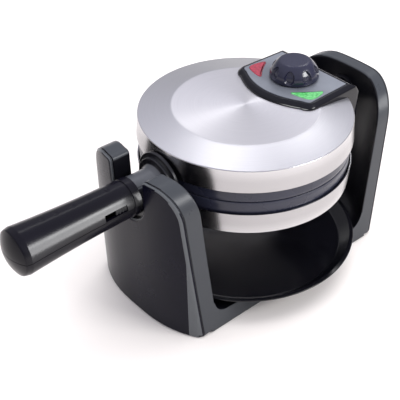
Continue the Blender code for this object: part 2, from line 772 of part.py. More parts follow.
def build_element(name, side, parent):
    """A sheathed heating element bent in an open ring behind its plate."""
    height = on_side(side, PLATE_FACE_RISE + PLATE_THICKNESS + GAP + ELEMENT_TUBE_RADIUS)
    turn = math.radians(320)
    centre = (0, 0, height)
    ring = arc_points(ELEMENT_RING_RADIUS, 0, ELEMENT_TUBE_RADIUS, 0, 2 * math.pi, 6)[:-1]
    shape = turned(ring, ELEMENT_STEPS, "Z", centre, turn, math.radians(110))
    add_mesh(name, shape, "plated_steel", parent)


def trunnion_profile():
    """Hollow front trunnion: flange, ring and journal, as (radius, y)."""
    flange = -(STEEL_RADIUS + STEEL_FLARE + GAP)
    ring = flange - FLANGE_THICKNESS
    journal = ring - RING_THICKNESS
    end = -(GRIP_START - GAP)
    profile = [(NECK_BORE, flange), (FLANGE_RADIUS, flange), (FLANGE_RADIUS, ring)]
    profile += [(RING_RADIUS, ring), (RING_RADIUS, journal), (JOURNAL_RADIUS, journal)]
    return profile + [(JOURNAL_RADIUS, end), (NECK_BORE, end)]


def grip_outside():
    """Outside of the grip from its collar to its domed end, as (radius, y)."""
    groove = GRIP_START + COLLAR_LENGTH
    body = groove + COLLAR_GROOVE * 2
    dome = GRIP_END - GRIP_DOME
    inner = GRIP_INNER_RADIUS
    profile = [(inner, -GRIP_START), (inner, -groove), (inner - COLLAR_GROOVE, -groove)]
    profile += [(inner - COLLAR_GROOVE, -body)]
    for share in (0.0, 0.2, 0.4, 0.6, 0.8, 1.0):
        swell = (GRIP_OUTER_RADIUS - inner) * share**GRIP_SWELL_SHARE
        profile.append((inner + swell, -(body + (dome - body) * share)))
    for angle in (22, 45, 67, 90):
        radius = GRIP_OUTER_RADIUS * math.cos(math.radians(angle)) if angle < 90 else 0
        profile.append((radius, -(dome + GRIP_DOME * math.sin(math.radians(angle)))))
    return profile


def grip_profile():
    """The grip's closed half section: its outside, and a hollow a wall thinner."""
    outside = grip_outside()
    inside = []
    for radius, y in outside[5:]:
        inside.append((max(radius - GRIP_WALL, 0), y if radius else y + GRIP_WALL))
    inner_end = outside[4][1] - GRIP_WALL
    inside.insert(0, (GRIP_INNER_RADIUS - GRIP_WALL, inner_end))
    return outside + inside[::-1] + [(NECK_BORE, inner_end), (NECK_BORE, -GRIP_START)]


def half_round(profile, side):
    """Half of a turned shape about the axis, lifted off the parting plane by half a gap."""
    start = 0 if side > 0 else math.pi
    centre = (0, 0, AXIS_HEIGHT + side * HALF_GAP / 2)
    return turned(profile, COARSE, "Y", centre, math.pi, start)


def build_handle_half(word, side, parent):
    add_mesh(f"{word}_trunnion", half_round(trunnion_profile(), side), "black_plastic", parent)
    grip = add_mesh(f"{word}_handle", half_round(grip_profile(), side), "black_plastic", parent)
    if side > 0:
        low_y = -(GRIP_START + SLOT_START + SLOT_LENGTH)
        low = (GRIP_INNER_RADIUS / 3, low_y, AXIS_HEIGHT + SLOT_RISE)
        high_x = GRIP_OUTER_RADIUS + OVERRUN
        high = (high_x, low_y + SLOT_LENGTH, AXIS_HEIGHT + SLOT_RISE + SLOT_HEIGHT)
        cut(grip, "latch_slot", box(low, high))


def build_latch(slide):
    """The thumb slider in the upper handle half, shown at the inner end of its slot."""
    inner_y = -(GRIP_START + SLOT_START + GAP)
    low_z = AXIS_HEIGHT + SLOT_RISE + GAP
    high_z = low_z + SLOT_HEIGHT - 2 * GAP
    outer_x = math.sqrt(GRIP_INNER_RADIUS**2 - (high_z - AXIS_HEIGHT) ** 2)
    low = (outer_x - LATCH_DEPTH, inner_y - LATCH_LENGTH, low_z)
    latch = add_mesh("handle_latch", box(low, (outer_x, inner_y, high_z)), "die_cast", slide)
    groove = LATCH_LENGTH / 7
    for i in (1, 3, 5):
        near = inner_y - groove * (i + 1)
        shape = box(
            (outer_x - groove / 2, near, low_z - OVERRUN),
            (outer_x + OVERRUN, near + groove, high_z + OVERRUN),
        )
        cut(latch, f"latch_groove_{i}", shape)


def box_outline():
    """Plan of the control box: straight back, slightly flared sides and a curved front."""
    wide = BOX_HALF_WIDTH + BOX_FLARE
    side_front = BOX_FRONT + BOX_FRONT_SAG
    end_x, end_y = wide - BOX_CORNER, side_front - BOX_CORNER * 0.15
    outline = [(BOX_HALF_WIDTH, BOX_BACK), (wide, side_front + BOX_CORNER)]
    outline += [(wide - BOX_CORNER * 0.25, side_front + BOX_CORNER * 0.32), (end_x, end_y)]
    for share in (0.6, 0.3, 0.0):
        outline.append((end_x * share, BOX_FRONT + (end_y - BOX_FRONT) * share**2))
    return outline + [(-x, y) for x, y in outline[-2::-1]]


def shrunk(outline, inset):
    """A plan outline moved in along the mitre of each corner; a negative inset grows it."""
    count = len(outline)
    moved = []
    for i, (x, y) in enumerate(outline):
        before, after = outline[i - 1], outline[(i + 1) % count]
        first = Vector((x - before[0], y - before[1])).normalized()
        second = Vector((after[0] - x, after[1] - y)).normalized()
        mitre = (first.orthogonal() + second.orthogonal()) / (1 + first.dot(second))
        moved.append((x + mitre.x * inset, y + mitre.y * inset))
    if (area(moved) - area(outline)) * inset > 0:
        return shrunk(outline[::-1], inset)[::-1]
    return moved


def area(outline):
    """Twice the area inside an outline, whichever way round it runs."""
    return abs(sum(a[0] * b[1] - b[0] * a[1] for a, b in zip(outline, outline[1:] + outline[:1])))


def box_section(inset, rise):
    """The box's plan at a height, its two back corners stepped out to clear the lid."""
    ring = [(x, y, AXIS_HEIGHT + rise) for x, y in shrunk(box_outline(), inset)]
    step = back_wall_y(rise) - BOX_BACK
    for i in (0, -1):
        x, y, z = ring[i]
        ring[i] = (x, y + step, z)
    return ring


def back_wall_y(rise):
    """Outside of the box's back wall: upright below the shoulder, leaning in above it."""
    share = (rise - BOX_SHOULDER_RISE) / (BOX_RISE - BOX_SHOULDER_RISE)
    return BOX_BACK + BOX_BACK_STEP * (1 - min(max(share, 0), 1))


def lens_outline(side, grow):
    """A curved triangle beside the dial, on the right (+1) or the left (-1)."""
    width, depth = BOX_HALF_WIDTH - PANEL_INSET, BOX_FRONT_SAG + BOX_CORNER
    outline = [(side * x * width, BOX_FRONT + y * depth) for x, y in LENS_SHARES]
    return shrunk(outline, -grow)


def middle_of(outline):
    count = len(outline)
    return sum(x for x, _ in outline) / count, sum(y for _, y in outline) / count


def build_control_box(lid):
    """Black housing over the lid's rear, open below, with its satin panel and two lamps."""
    edge = BOX_RISE - BOX_BEVEL_DROP
    sections = [box_section(0, rise) for rise in (BOX_BOTTOM_RISE, BOX_SHOULDER_RISE, edge)]
    sections.append(box_section(BOX_BEVEL, BOX_RISE))
    housing = add_mesh("control_box", loft(sections), "gloss_black", lid)
    levels = (BOX_BOTTOM_RISE - OVERRUN, BOX_SHOULDER_RISE, BOX_RISE - BOX_WALL)
    inside = loft([box_section(BOX_WALL, rise) for rise in levels])
    cut(housing, "box_hollow", inside)
    outside = shell_profile(1, GAP)
    outside.append((outside[-1][0], AXIS_HEIGHT - OVERRUN))
    outside.append((0, AXIS_HEIGHT - OVERRUN))
    cut(housing, "lid_under_box", turned(outside, FINE))
    top = AXIS_HEIGHT + BOX_RISE
    recess = along_z(shrunk(box_outline(), PANEL_INSET), top - PANEL_THICKNESS, top + OVERRUN)
    cut(housing, "panel_recess", recess)
    hole = rod(DIAL_SHAFT_HOLE, top - OVERRUN, top + OVERRUN, centre=(0, DIAL_Y, 0))
    cut(housing, "box_dial_hole", hole)
    sheet_low = top - PANEL_THICKNESS + GAP
    sheet = along_z(shrunk(box_outline(), PANEL_INSET + GAP), sheet_low, top + GAP)
    panel = add_mesh("control_panel", sheet, "grey_panel", lid)
    cut(panel, "panel_dial_hole", hole)
    for word, side in (("red", -1), ("green", 1)):
        opening = along_z(lens_outline(side, GAP), top - OVERRUN, top + OVERRUN)
        cut(housing, f"{word}_box_opening", opening)
        cut(panel, f"{word}_panel_opening", opening)
        build_lamp(word, side, top, lid)


def build_lamp(word, side, top, lid):
    """A lens set in the panel and the small neon bulb under it."""
    lens = along_z(lens_outline(side, 0), top + LENS_PROUD - LENS_DEPTH, top + LENS_PROUD)
    add_mesh(f"{word}_lens", lens, f"{word}_lens", lid)
    x, y = middle_of(lens_outline(side, 0))
    high = top + LENS_PROUD - LENS_DEPTH - GAP
    bulb = rod(BULB_RADIUS, high - BULB_LENGTH, high, centre=(x, y, 0))
    add_mesh(f"{word}_bulb", bulb, "lamp_glass", lid)


def dial_points():
    """The dial's skin: a low cone with oval scallops round its side."""
    base = on_side(1, PANEL_TOP + GAP)
    rows = ((0, 0.93), (0.06, 1.0), (0.30, 1.0), (0.42, 0.965), (0.56, 0.90), (0.70, 0.82))
    rows += ((0.84, 0.735), (0.95, 0.66), (1.0, 0.60))
    steps = DIAL_SCALLOPS * 4
    points = []
    for height_share, radius_share in rows:
        radius = DIAL_RADIUS * radius_share
        depth = DIAL_SCALLOP_DEPTH * math.exp(-(((height_share - 0.52) / 0.26) ** 2))
        for k in range(steps):
            angle = 2 * math.pi * k / steps
            dent = max(math.cos(angle * DIAL_SCALLOPS), 0) ** 1.5
            r = radius - depth * dent
            z = base + DIAL_HEIGHT * height_share
            points.append((r * math.cos(angle), DIAL_Y + r * math.sin(angle), z))
    return points, steps, len(rows)


def build_dial(axis):
    points, steps, rows = dial_points()
    sections = [points[row * steps : (row + 1) * steps] for row in range(rows)]
    dial = add_mesh("temperature_dial", loft(sections), "black_plastic", axis)
    base = on_side(1, PANEL_TOP + GAP)
    top = base + DIAL_HEIGHT
    socket = rod(DIAL_SHAFT_RADIUS + GAP, base - OVERRUN, top - GRIP_WALL, centre=(0, DIAL_Y, 0))
    cut(dial, "dial_socket", socket)
    low = on_side(1, PLATE_FACE_RISE + PLATE_THICKNESS + THERMOSTAT_HEIGHT + 2 * GAP)
    shaft = rod(DIAL_SHAFT_RADIUS, low, top - GRIP_WALL - GAP, centre=(0, DIAL_Y, 0))
    add_mesh("dial_shaft", shaft, "plated_steel", axis)


def build_thermostat(lid):
    low = on_side(1, PLATE_FACE_RISE + PLATE_THICKNESS + GAP)
    place = (0, DIAL_Y + GAP, 0)
    body = rod(THERMOSTAT_RADIUS, low, low + THERMOSTAT_HEIGHT, COARSE, centre=place)
    add_mesh("thermostat", body, "nylon", lid)


def knuckle_outline(seat_low, seat_high, seat_y):
    """Side of a hinge lug: from a seat at seat_y out round the pin, as (y, z) points."""
    centre_z = AXIS_HEIGHT + HINGE_RISE
    away = 1 if HINGE_Y > seat_y else -1
    turn = math.pi / 2 * away
    round_end = arc_points(HINGE_Y, centre_z, KNUCKLE_RADIUS, -turn, turn, 8)
    return [(seat_y, seat_low)] + round_end + [(seat_y, seat_high)]


def build_hinge_leaf(lid):
    """The lid's half of the hinge: a plate on the back of the control box and two lugs."""
    pin_z = HINGE_RISE
    low, high = pin_z - KNUCKLE_RADIUS - GAP, pin_z + KNUCKLE_RADIUS * 1.8
    thickness = BRACKET_THICKNESS * 0.6
    outline = []
    for rise, step in ((low, 0), (high, 0), (high, thickness), (low, thickness)):
        outline.append((back_wall_y(rise) + GAP + step, AXIS_HEIGHT + rise))
    half = EAR_INNER - EAR_GAP
    leaf = add_mesh("hinge_leaf", along_x(outline, -half, half), "die_cast", lid)
    seat_y = back_wall_y(pin_z) + thickness / 2
    side = knuckle_outline(
        AXIS_HEIGHT + low + GAP, AXIS_HEIGHT + pin_z + KNUCKLE_RADIUS, seat_y
    )
    for word, near in (("left", -half), ("right", half - LUG_WIDTH)):
        fuse(leaf, f"{word}_lug", along_x(side, near, near + LUG_WIDTH))
    hole = rod_x(HINGE_PIN_RADIUS + GAP, -half - OVERRUN, half + OVERRUN, HINGE_Y, pin_height())
    cut(leaf, "leaf_pin_hole", hole)


def pin_height():
    return AXIS_HEIGHT + HINGE_RISE


def build_rear_bracket(unit):
    """The lower half's rear casting: a mounting plate, two hinge ears and the hollow shaft."""
    low = AXIS_HEIGHT - BRACKET_DROP
    near, far = BRACKET_Y, BRACKET_Y + BRACKET_THICKNESS
    half = EAR_INNER + EAR_WIDTH
    high = AXIS_HEIGHT - BAND_LEDGE_THICKNESS
    plate_half = EAR_INNER + EAR_WIDTH / 2
    shape = box((-plate_half, near, low), (plate_half, far, high))
    bracket = add_mesh("rear_bracket", shape, "die_cast", unit)
    ear_low = AXIS_HEIGHT - BRACKET_DROP / 2
    centre_z = pin_height()
    ear = arc_points(HINGE_Y, centre_z, KNUCKLE_RADIUS, -math.pi / 5, math.pi, 10)
    ear_front = near + GAP
    ear += [(ear_front, centre_z - KNUCKLE_RADIUS / 2), (ear_front, ear_low)]
    ear += [(far + GAP, ear_low)]
    for word, start in (("left", -half), ("right", EAR_INNER)):
        fuse(bracket, f"{word}_ear", along_x(ear, start, start + EAR_WIDTH))
    centre = (0, 0, AXIS_HEIGHT)
    boss_end = near + SHAFT_BOSS_LENGTH
    shaft_start = (near + far) / 2
    shaft_end = bearing_span()[1] + CLIP_THICKNESS + 2 * GAP + CLIP_THICKNESS / 2
    profile = [(0, shaft_start), (SHAFT_BOSS_RADIUS, shaft_start), (SHAFT_BOSS_RADIUS, boss_end)]
    profile += [(SHAFT_RADIUS, boss_end), (SHAFT_RADIUS, shaft_end), (0, shaft_end)]
    fuse(bracket, "hollow_shaft", turned(profile, MEDIUM, "Y", centre))
    bore = rod(SHAFT_BORE, near - OVERRUN, shaft_end + OVERRUN, COARSE, "Y", centre)
    cut(bracket, "shaft_bore", bore)
    hole = rod_x(HINGE_PIN_RADIUS + GAP, -half - OVERRUN, half + OVERRUN, HINGE_Y, centre_z)
    cut(bracket, "bracket_pin_hole", hole)


def build_hinge_pin(unit):
    """A headed pin through the ears and lugs."""
    half = EAR_INNER + EAR_WIDTH + GAP
    z = pin_height()
    shape = rod_x(HINGE_PIN_RADIUS, -half, half, HINGE_Y, z)
    pin = add_mesh("hinge_pin", shape, "plated_steel", unit)
    head = HINGE_PIN_RADIUS + PIN_HEAD
    for word, start in (("left", -half - PIN_HEAD), ("right", half)):
        shape = rod_x(head, start, start + PIN_HEAD, HINGE_Y, z)
        fuse(pin, f"{word}_pin_head", shape)


def build_shaft_clip(unit):
    """The retaining ring behind the rear bearing."""
    low = bearing_span()[1] + GAP
    high = low + CLIP_THICKNESS
    inner = SHAFT_RADIUS + GAP
    shape = tube(inner, inner + CLIP_WIDTH, low, high, MEDIUM, "Y", (0, 0, AXIS_HEIGHT))
    add_mesh("shaft_clip", shape, "plated_steel", unit)


def build_thermal_fuse(unit):
    high = on_side(-1, PLATE_FACE_RISE + PLATE_THICKNESS + GAP)
    shape = rod(THERMOSTAT_RADIUS * 0.7, high - THERMOSTAT_HEIGHT, high, centre=(0, 0, 0))
    add_mesh("thermal_fuse", shape, "nylon", unit)


def build_lower_half(unit):
    build_shell("lower_shell", -1, unit)
    build_band("lower_band", -1, unit)
    build_plate("lower_plate", -1, unit)
    build_element("lower_element", -1, unit)
    build_handle_half("lower", -1, unit)
    build_rear_bracket(unit)
    build_hinge_pin(unit)
    build_shaft_clip(unit)
    build_thermal_fuse(unit)


def build_lid(lid):
    shell = build_shell("upper_shell", 1, lid)
    high = on_side(1, CROWN_RISE)
    hole = rod(DIAL_SHAFT_HOLE, high - OVERRUN, high + OVERRUN, centre=(0, DIAL_Y, 0))
    cut(shell, "shell_dial_hole", hole)
    build_band("upper_band", 1, lid)
    build_plate("upper_plate", 1, lid)
    build_element("upper_element", 1, lid)
    build_handle_half("upper", 1, lid)
    build_control_box(lid)
    build_thermostat(lid)
    build_hinge_leaf(lid)


def main():
    for piece in list(bpy.data.objects):
        bpy.data.objects.remove(piece, do_unlink=True)
    root = add_empty("machine", None, (0, 0, 0))
    root.location = (0, CENTRE_SHIFT, 0)
    unit = add_empty("unit_axis", root, (0, 0, AXIS_HEIGHT))
    lid = add_empty("lid_hinge", unit, (0, HINGE_Y, pin_height()))
    dial = add_empty("dial_axis", lid, (0, DIAL_Y, AXIS_HEIGHT + BOX_RISE))
    latch = add_empty("latch_slide", lid, (GRIP_INNER_RADIUS, -GRIP_START, AXIS_HEIGHT))
    tray = add_empty("tray_seat", root, (0, 0, FLOOR_TOP))
    build_base_frame(root)
    build_covers(root)
    build_cord_gland(root)
    build_bottom(root)
    build_cradle_liner(root)
    build_rear_bush(root)
    build_drip_tray(tray)
    build_lower_half(unit)
    build_lid(lid)
    build_dial(dial)
    build_latch(latch)


main()
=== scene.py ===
import json
import math

import bmesh
import bpy
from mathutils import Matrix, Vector

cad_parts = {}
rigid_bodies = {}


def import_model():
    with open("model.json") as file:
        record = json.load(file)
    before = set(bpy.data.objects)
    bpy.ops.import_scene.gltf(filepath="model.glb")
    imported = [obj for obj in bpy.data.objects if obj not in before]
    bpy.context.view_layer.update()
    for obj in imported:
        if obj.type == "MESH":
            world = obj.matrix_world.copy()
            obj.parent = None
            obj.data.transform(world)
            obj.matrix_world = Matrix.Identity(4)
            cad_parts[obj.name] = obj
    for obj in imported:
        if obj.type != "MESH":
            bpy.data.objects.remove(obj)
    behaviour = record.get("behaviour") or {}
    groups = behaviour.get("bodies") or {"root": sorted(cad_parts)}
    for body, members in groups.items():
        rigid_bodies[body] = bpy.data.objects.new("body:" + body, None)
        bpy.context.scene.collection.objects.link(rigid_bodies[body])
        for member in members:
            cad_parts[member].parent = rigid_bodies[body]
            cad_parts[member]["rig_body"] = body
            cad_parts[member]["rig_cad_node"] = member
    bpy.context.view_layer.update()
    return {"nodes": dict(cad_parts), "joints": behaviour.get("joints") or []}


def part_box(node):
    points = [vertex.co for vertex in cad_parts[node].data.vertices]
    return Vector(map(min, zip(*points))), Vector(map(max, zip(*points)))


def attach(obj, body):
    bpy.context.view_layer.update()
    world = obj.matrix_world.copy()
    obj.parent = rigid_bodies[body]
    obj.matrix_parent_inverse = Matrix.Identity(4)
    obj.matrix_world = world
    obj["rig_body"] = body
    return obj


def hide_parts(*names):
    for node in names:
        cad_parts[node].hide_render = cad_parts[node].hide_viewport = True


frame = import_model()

# Stage: a wide white table and a pale room, dim in a ring above eye level so that black edges
# stand out; a soft sun and three lamps. Small reflectors are set up with the pieces that they
# shine on. The camera stands where the photograph was taken from, at the handle's right side.
turn_joint = next(j for j in frame["joints"] if j["name"] == "unit_rotation")
CENTRE = Vector(turn_joint["pos_m"])
AXIS = CENTRE.z
TABLE_RADIUS, TABLE_DROP = 14.0, 0.0001
VIEW_PLACE = (0.52012, CENTRE.y - 0.50978, 0.61666)
VIEW_LENS, VIEW_DOWN, VIEW_TURN = 78.83, 37.32, 49.03


def shown(obj):
    bpy.context.scene.collection.objects.link(obj)
    return obj


def feed(tree, socket, value):
    """Links an input to another node's output, or sets it to a plain value."""
    if isinstance(value, bpy.types.NodeSocket):
        tree.links.new(value, socket)
    else:
        socket.default_value = value


def wire(tree, node, **inputs):
    """Feeds a node's inputs by their labels, written with _ for a space."""
    for label, value in inputs.items():
        feed(tree, node.inputs[label.replace("_", " ")], value)
    return node


def add_node(tree, kind, **inputs):
    return wire(tree, tree.nodes.new(kind), **inputs)


def ramp(tree, factor, first, last, *between):
    """A colour ramp through (position, colour) stops."""
    node = add_node(tree, "ShaderNodeValToRGB", Fac=factor)
    stops = node.color_ramp.elements
    for stop, (position, colour) in zip(stops, (first, last)):
        stop.position, stop.color = position, (*colour, 1)
    for position, colour in between:
        stops.new(position).color = (*colour, 1)
    return node.outputs["Color"]


def new_finish(name):
    material = bpy.data.materials.new(name)
    material.use_nodes = True
    return material, material.node_tree, material.node_tree.nodes["Principled BSDF"]


def add_lamp(name, place, target, size, watts):
    light = bpy.data.lights.new(name, "AREA")
    light.shape = "RECTANGLE"
    light.size, light.size_y = size
    light.energy = watts
    lamp = shown(bpy.data.objects.new(name, light))
    lamp.location = place
    lamp.rotation_euler = (Vector(target) - Vector(place)).to_track_quat("-Z", "Y").to_euler()
    return lamp


bpy.context.scene.view_settings.view_transform = "Standard"
work = bmesh.new()
bmesh.ops.create_circle(work, cap_ends=True, segments=96, radius=TABLE_RADIUS)
bmesh.ops.translate(work, verts=work.verts, vec=(0, 0, -TABLE_DROP))
mesh = bpy.data.meshes.new("table")
work.to_mesh(mesh)
work.free()
white, tree, shader = new_finish("table_white")
wire(tree, shader, Base_Color=(0.93, 0.885, 0.84, 1), Roughness=0.7)
mesh.materials.append(white)
table = shown(bpy.data.objects.new("table", mesh))

room = bpy.data.worlds.new("room")
bpy.context.scene.world = room
room.use_nodes = True
place = add_node(room.node_tree, "ShaderNodeTexCoord").outputs["Generated"]
height = add_node(room.node_tree, "ShaderNodeSeparateXYZ", Vector=place).outputs["Z"]
tint = ramp(room.node_tree, height, (0.02, (0.85, 0.85, 0.86)), (0.70, (0.82, 0.82, 0.92)),
            (0.25, (0.36, 0.36, 0.40)))
wire(room.node_tree, room.node_tree.nodes["Background"], Color=tint)

light = bpy.data.lights.new("sun_soft", "SUN")
light.angle, light.energy = math.radians(60), 2.05
sun = shown(bpy.data.objects.new("sun_soft", light))
sun.rotation_euler = Vector((-0.15, 0.25, 1.0)).to_track_quat("Z", "Y").to_euler()
sun.visible_glossy = False
add_lamp("lamp_above", (-0.80, 0.62, 1.65), (0, 0.05, 0.15), (0.22, 0.22), 0.8)
add_lamp("lamp_behind", (-0.66, 1.29, 1.42), (0, 0.05, 0.15), (0.30, 0.30), 1.3)
add_lamp("lamp_right", (1.20, 0.58, 0.96), (0, -0.05, 0.14), (0.60, 0.34), 13)

lens = bpy.data.cameras.new("camera")
lens.lens, lens.sensor_width, lens.clip_start = VIEW_LENS, 36.0, 0.05
camera = shown(bpy.data.objects.new("camera", lens))
camera.location = VIEW_PLACE
camera.rotation_euler = (math.radians(90 - VIEW_DOWN), 0, math.radians(VIEW_TURN))
bpy.context.scene.camera = camera

# Base moulding: one satin black injection moulding, two towers rising out of a flat floor.
# The front tower ends in two horns beside the cradle; the rear one holds the bearing. Its
# inner faces curve round the cooking unit and round over into the floor.
HALF_WIDTH, SIDE_DRAFT = 0.0777, 0.095
SKIRT_BOTTOM, FLOOR_TOP, FLOOR_FILLET = 0.0012, 0.019, 0.015
FRAME_WALL, COVER, SEAM = 0.0026, 0.003, 0.0003
CRADLE_RADIUS, HORN_ROUND = 0.0222, 0.0046
HOLLOW_FRONT, HOLLOW_REAR, HOLLOW_BOTTOM = -0.1217, 0.1363, -0.01
BEARING_START, BEARING_END, BEARING_OUTER, BEARING_BORE = 0.1424, 0.150, 0.0173, 0.0131
TOWER_FOOT, SAME_POINT = 0.0026, 2e-6
FRONT = {"top": 0.1683, "corner": (0.0290, 0.0350), "notch": True}
REAR = {"top": 0.169, "corner": (0.042, 0.043), "notch": False}


def tower_face(way, apex, drop, power, lean):
    """One broad face of a tower, y from x and z: it curves round the unit and leans."""
    return lambda x, z: way * (apex - drop * (abs(x) / HALF_WIDTH) ** power + lean * z)


front_outer = tower_face(-1, 0.1420, 0.0203, 2.75, 0.029)
front_inner = tower_face(-1, 0.1188, 0.0185, 2.75, 0.029)
rear_outer = tower_face(1, 0.1493, 0.0265, 2.5, 0.100)
rear_inner = tower_face(1, 0.1315, 0.0312, 2.5, 0.100)


def arc(centre_a, centre_b, radius, start, end, steps):
    angles = [start + (end - start) * i / steps for i in range(steps + 1)]
    return [(centre_a + radius * math.cos(a), centre_b + radius * math.sin(a)) for a in angles]


def tower_half(tower, inset, end):
    """Half of a tower seen from the front, from the middle out and down to its side's foot."""
    top, (corner_width, corner_height) = tower["top"], tower["corner"]
    side = HALF_WIDTH - inset * math.hypot(1, SIDE_DRAFT)
    width, height = corner_width - inset, corner_height - inset
    end_angle = math.atan(SIDE_DRAFT * height / width)
    centre_z = top - inset - height
    end_z = centre_z + height * math.sin(end_angle)
    centre_x = side - SIDE_DRAFT * end_z - width * math.cos(end_angle)
    outline = [(centre_x + width * cos, centre_z + height * sin)
               for cos, sin in arc(0, 0, 1, math.pi / 2, end_angle, 26)]
    for step in range(1, 13):
        z = end_z + (end - end_z) * step / 12
        outline.append((side - SIDE_DRAFT * z, z))
    if not tower["notch"]:
        return [(outline[0][0] * i / 14, top - inset) for i in range(14)] + outline
    radius, horn = CRADLE_RADIUS + inset, HORN_ROUND - inset
    notch = arc(0, AXIS, radius, -math.pi / 2, -math.pi / 30, 20)
    start, level = radius + SEAM + horn, top - inset
    notch += arc(start, level - horn, horn, math.pi, math.pi / 2, 12)
    notch += [(start + (outline[0][0] - start) * i / 5, level) for i in range(1, 5)]
    return notch + outline


def merged(mesh):
    """A mesh opened for work, its coinciding points made one."""
    work = bmesh.new()
    work.from_mesh(mesh)
    bmesh.ops.remove_doubles(work, verts=work.verts, dist=SAME_POINT)
    return work


def add_object(name, points, faces):
    """A mesh object from points given from the unit's centre line at table height."""
    mesh = bpy.data.meshes.new(name)
    mesh.from_pydata([(x, y + CENTRE.y, z) for x, y, z in points], [], faces)
    work = merged(mesh)
    bmesh.ops.recalc_face_normals(work, faces=work.faces)
    work.to_mesh(mesh)
    work.free()
    return shown(bpy.data.objects.new(name, mesh))


def loft(sections):
    """Faces through rings of equal counts, with a face across each end."""
    count = len(sections[0])
    points = [point for section in sections for point in section]
    faces = []
    for low in range(0, len(points) - count, count):
        for i in range(count):
            j = (i + 1) % count
            faces.append((low + i, low + j, low + count + j, low + count + i))
    return points, faces + [range(count), range(len(points) - count, len(points))]


def tower_solid(tower, layers, bottom=SKIRT_BOTTOM):
    """A tower from layers (inset, face) that run from one of its broad faces to the other."""
    halves = [tower_half(tower, inset, bottom + TOWER_FOOT) for inset, _ in layers]
    full = [[(-x, z) for x, z in reversed(half)] + half[1:] for half in halves]
    sections = []
    for i in range(len(full[0])):
        first_x, last_x = full[0][i][0], full[-1][i][0]
        ring = [(first_x, layers[0][1](first_x, bottom), bottom)]
        for outline, (_, face) in zip(full, layers):
            x, z = outline[i]
            ring.append((x, face(x, z), z))
        ring.append((last_x, layers[-1][1](last_x, bottom), bottom))
        sections.append(ring)
    return loft(sections)


def moved(face, distance):
    return lambda x, z: face(x, z) + distance


def evaluated(obj):
    """Turns what the modifiers make of an object into its plain mesh."""
    graph = bpy.context.evaluated_depsgraph_get()
    old, obj.data = obj.data, bpy.data.meshes.new_from_object(obj.evaluated_get(graph))
    obj.modifiers.clear()
    obj.data.name = obj.name
    bpy.data.meshes.remove(old)
    return obj


def carve(obj, shape, operation="DIFFERENCE"):
    """Cuts a shape (points and faces, or an object) from an object, or joins it on."""
    helper = add_object("cutter", *shape) if isinstance(shape, tuple) else shape
    modifier = obj.modifiers.new("carve", "BOOLEAN")
    modifier.operation = operation
    modifier.solver = "EXACT"
    modifier.object = helper
    evaluated(obj)
    bpy.data.objects.remove(helper, do_unlink=True)
    return obj


def settle(obj, body, slot, material, *nodes, sharp=32):
    """Closes and shades a finished piece, and gives it its place and finish."""
    work = merged(obj.data)
    bmesh.ops.holes_fill(work, edges=[edge for edge in work.edges if edge.is_boundary], sides=12)
    work.to_mesh(obj.data)
    work.free()
    obj.data.shade_smooth()
    obj.data.set_sharp_from_angle(angle=math.radians(sharp))
    shading = obj.modifiers.new("shading", "WEIGHTED_NORMAL")
    shading.keep_sharp = True
    evaluated(obj)
    obj.data.materials.clear()
    obj.data.materials.append(material)
    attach(obj, body)
    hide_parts(*nodes)


def ranged(tree, value, from_min, from_max, to_min, to_max):
    return add_node(tree, "ShaderNodeMapRange", Value=value, From_Min=from_min,
                    From_Max=from_max, To_Min=to_min, To_Max=to_max).outputs["Result"]


def relief(tree, height, strength, distance):
    return add_node(tree, "ShaderNodeBump", Height=height, Strength=strength,
                    Distance=distance).outputs["Normal"]


def moulded(name, colour, roughness, grain=0.25, pitch=1500.0, specular=0.5, metal=0.0):
    """A moulded or coated skin: fine texture, slow changes of sheen and a trace of tint."""
    material, tree, shader = new_finish(name)
    place = add_node(tree, "ShaderNodeTexCoord").outputs["Object"]
    fine = add_node(tree, "ShaderNodeTexNoise", Vector=place, Scale=pitch, Detail=3.0)
    broad = add_node(tree, "ShaderNodeTexNoise", Vector=place, Scale=26.0, Detail=4.0)
    slow = broad.outputs["Fac"]
    tint = ramp(tree, slow, (0.3, [c * 0.86 for c in colour]),
                (0.7, [min(c * 1.14, 1) for c in colour]))
    wire(tree, shader, Base_Color=tint, Specular_IOR_Level=specular, Metallic=metal,
         Roughness=ranged(tree, slow, 0.3, 0.7, roughness * 0.88, roughness * 1.14),
         Normal=relief(tree, fine.outputs["Fac"], grain, 0.00006))
    return material


def mixed(tree, share, first, second, blend="MIX"):
    """A colour between two others, or their product."""
    node = tree.nodes.new("ShaderNodeMix")
    node.data_type, node.blend_type = "RGBA", blend
    for place, value in ((0, share), (6, first), (7, second)):
        feed(tree, node.inputs[place], value)
    return node.outputs[2]


def painted_light_copy(material, attribute, colour):
    """A copy of a finish whose marked faces get another colour, used to paint a highlight or
    sheen on them.
    """
    both = material.copy()
    both.name = f"{material.name}_{attribute}"
    tree = both.node_tree
    base_colour = tree.nodes["Principled BSDF"].inputs["Base Color"]
    marked = tree.nodes.new("ShaderNodeAttribute")
    marked.attribute_name = attribute
    plain = base_colour.links[0].from_socket
    feed(tree, base_colour, mixed(tree, marked.outputs["Fac"], plain, (*colour, 1)))
    return both


SATIN_BLACK = moulded("satin_black", (0.0042, 0.0042, 0.0065), 0.30, 0.30, specular=0.25)


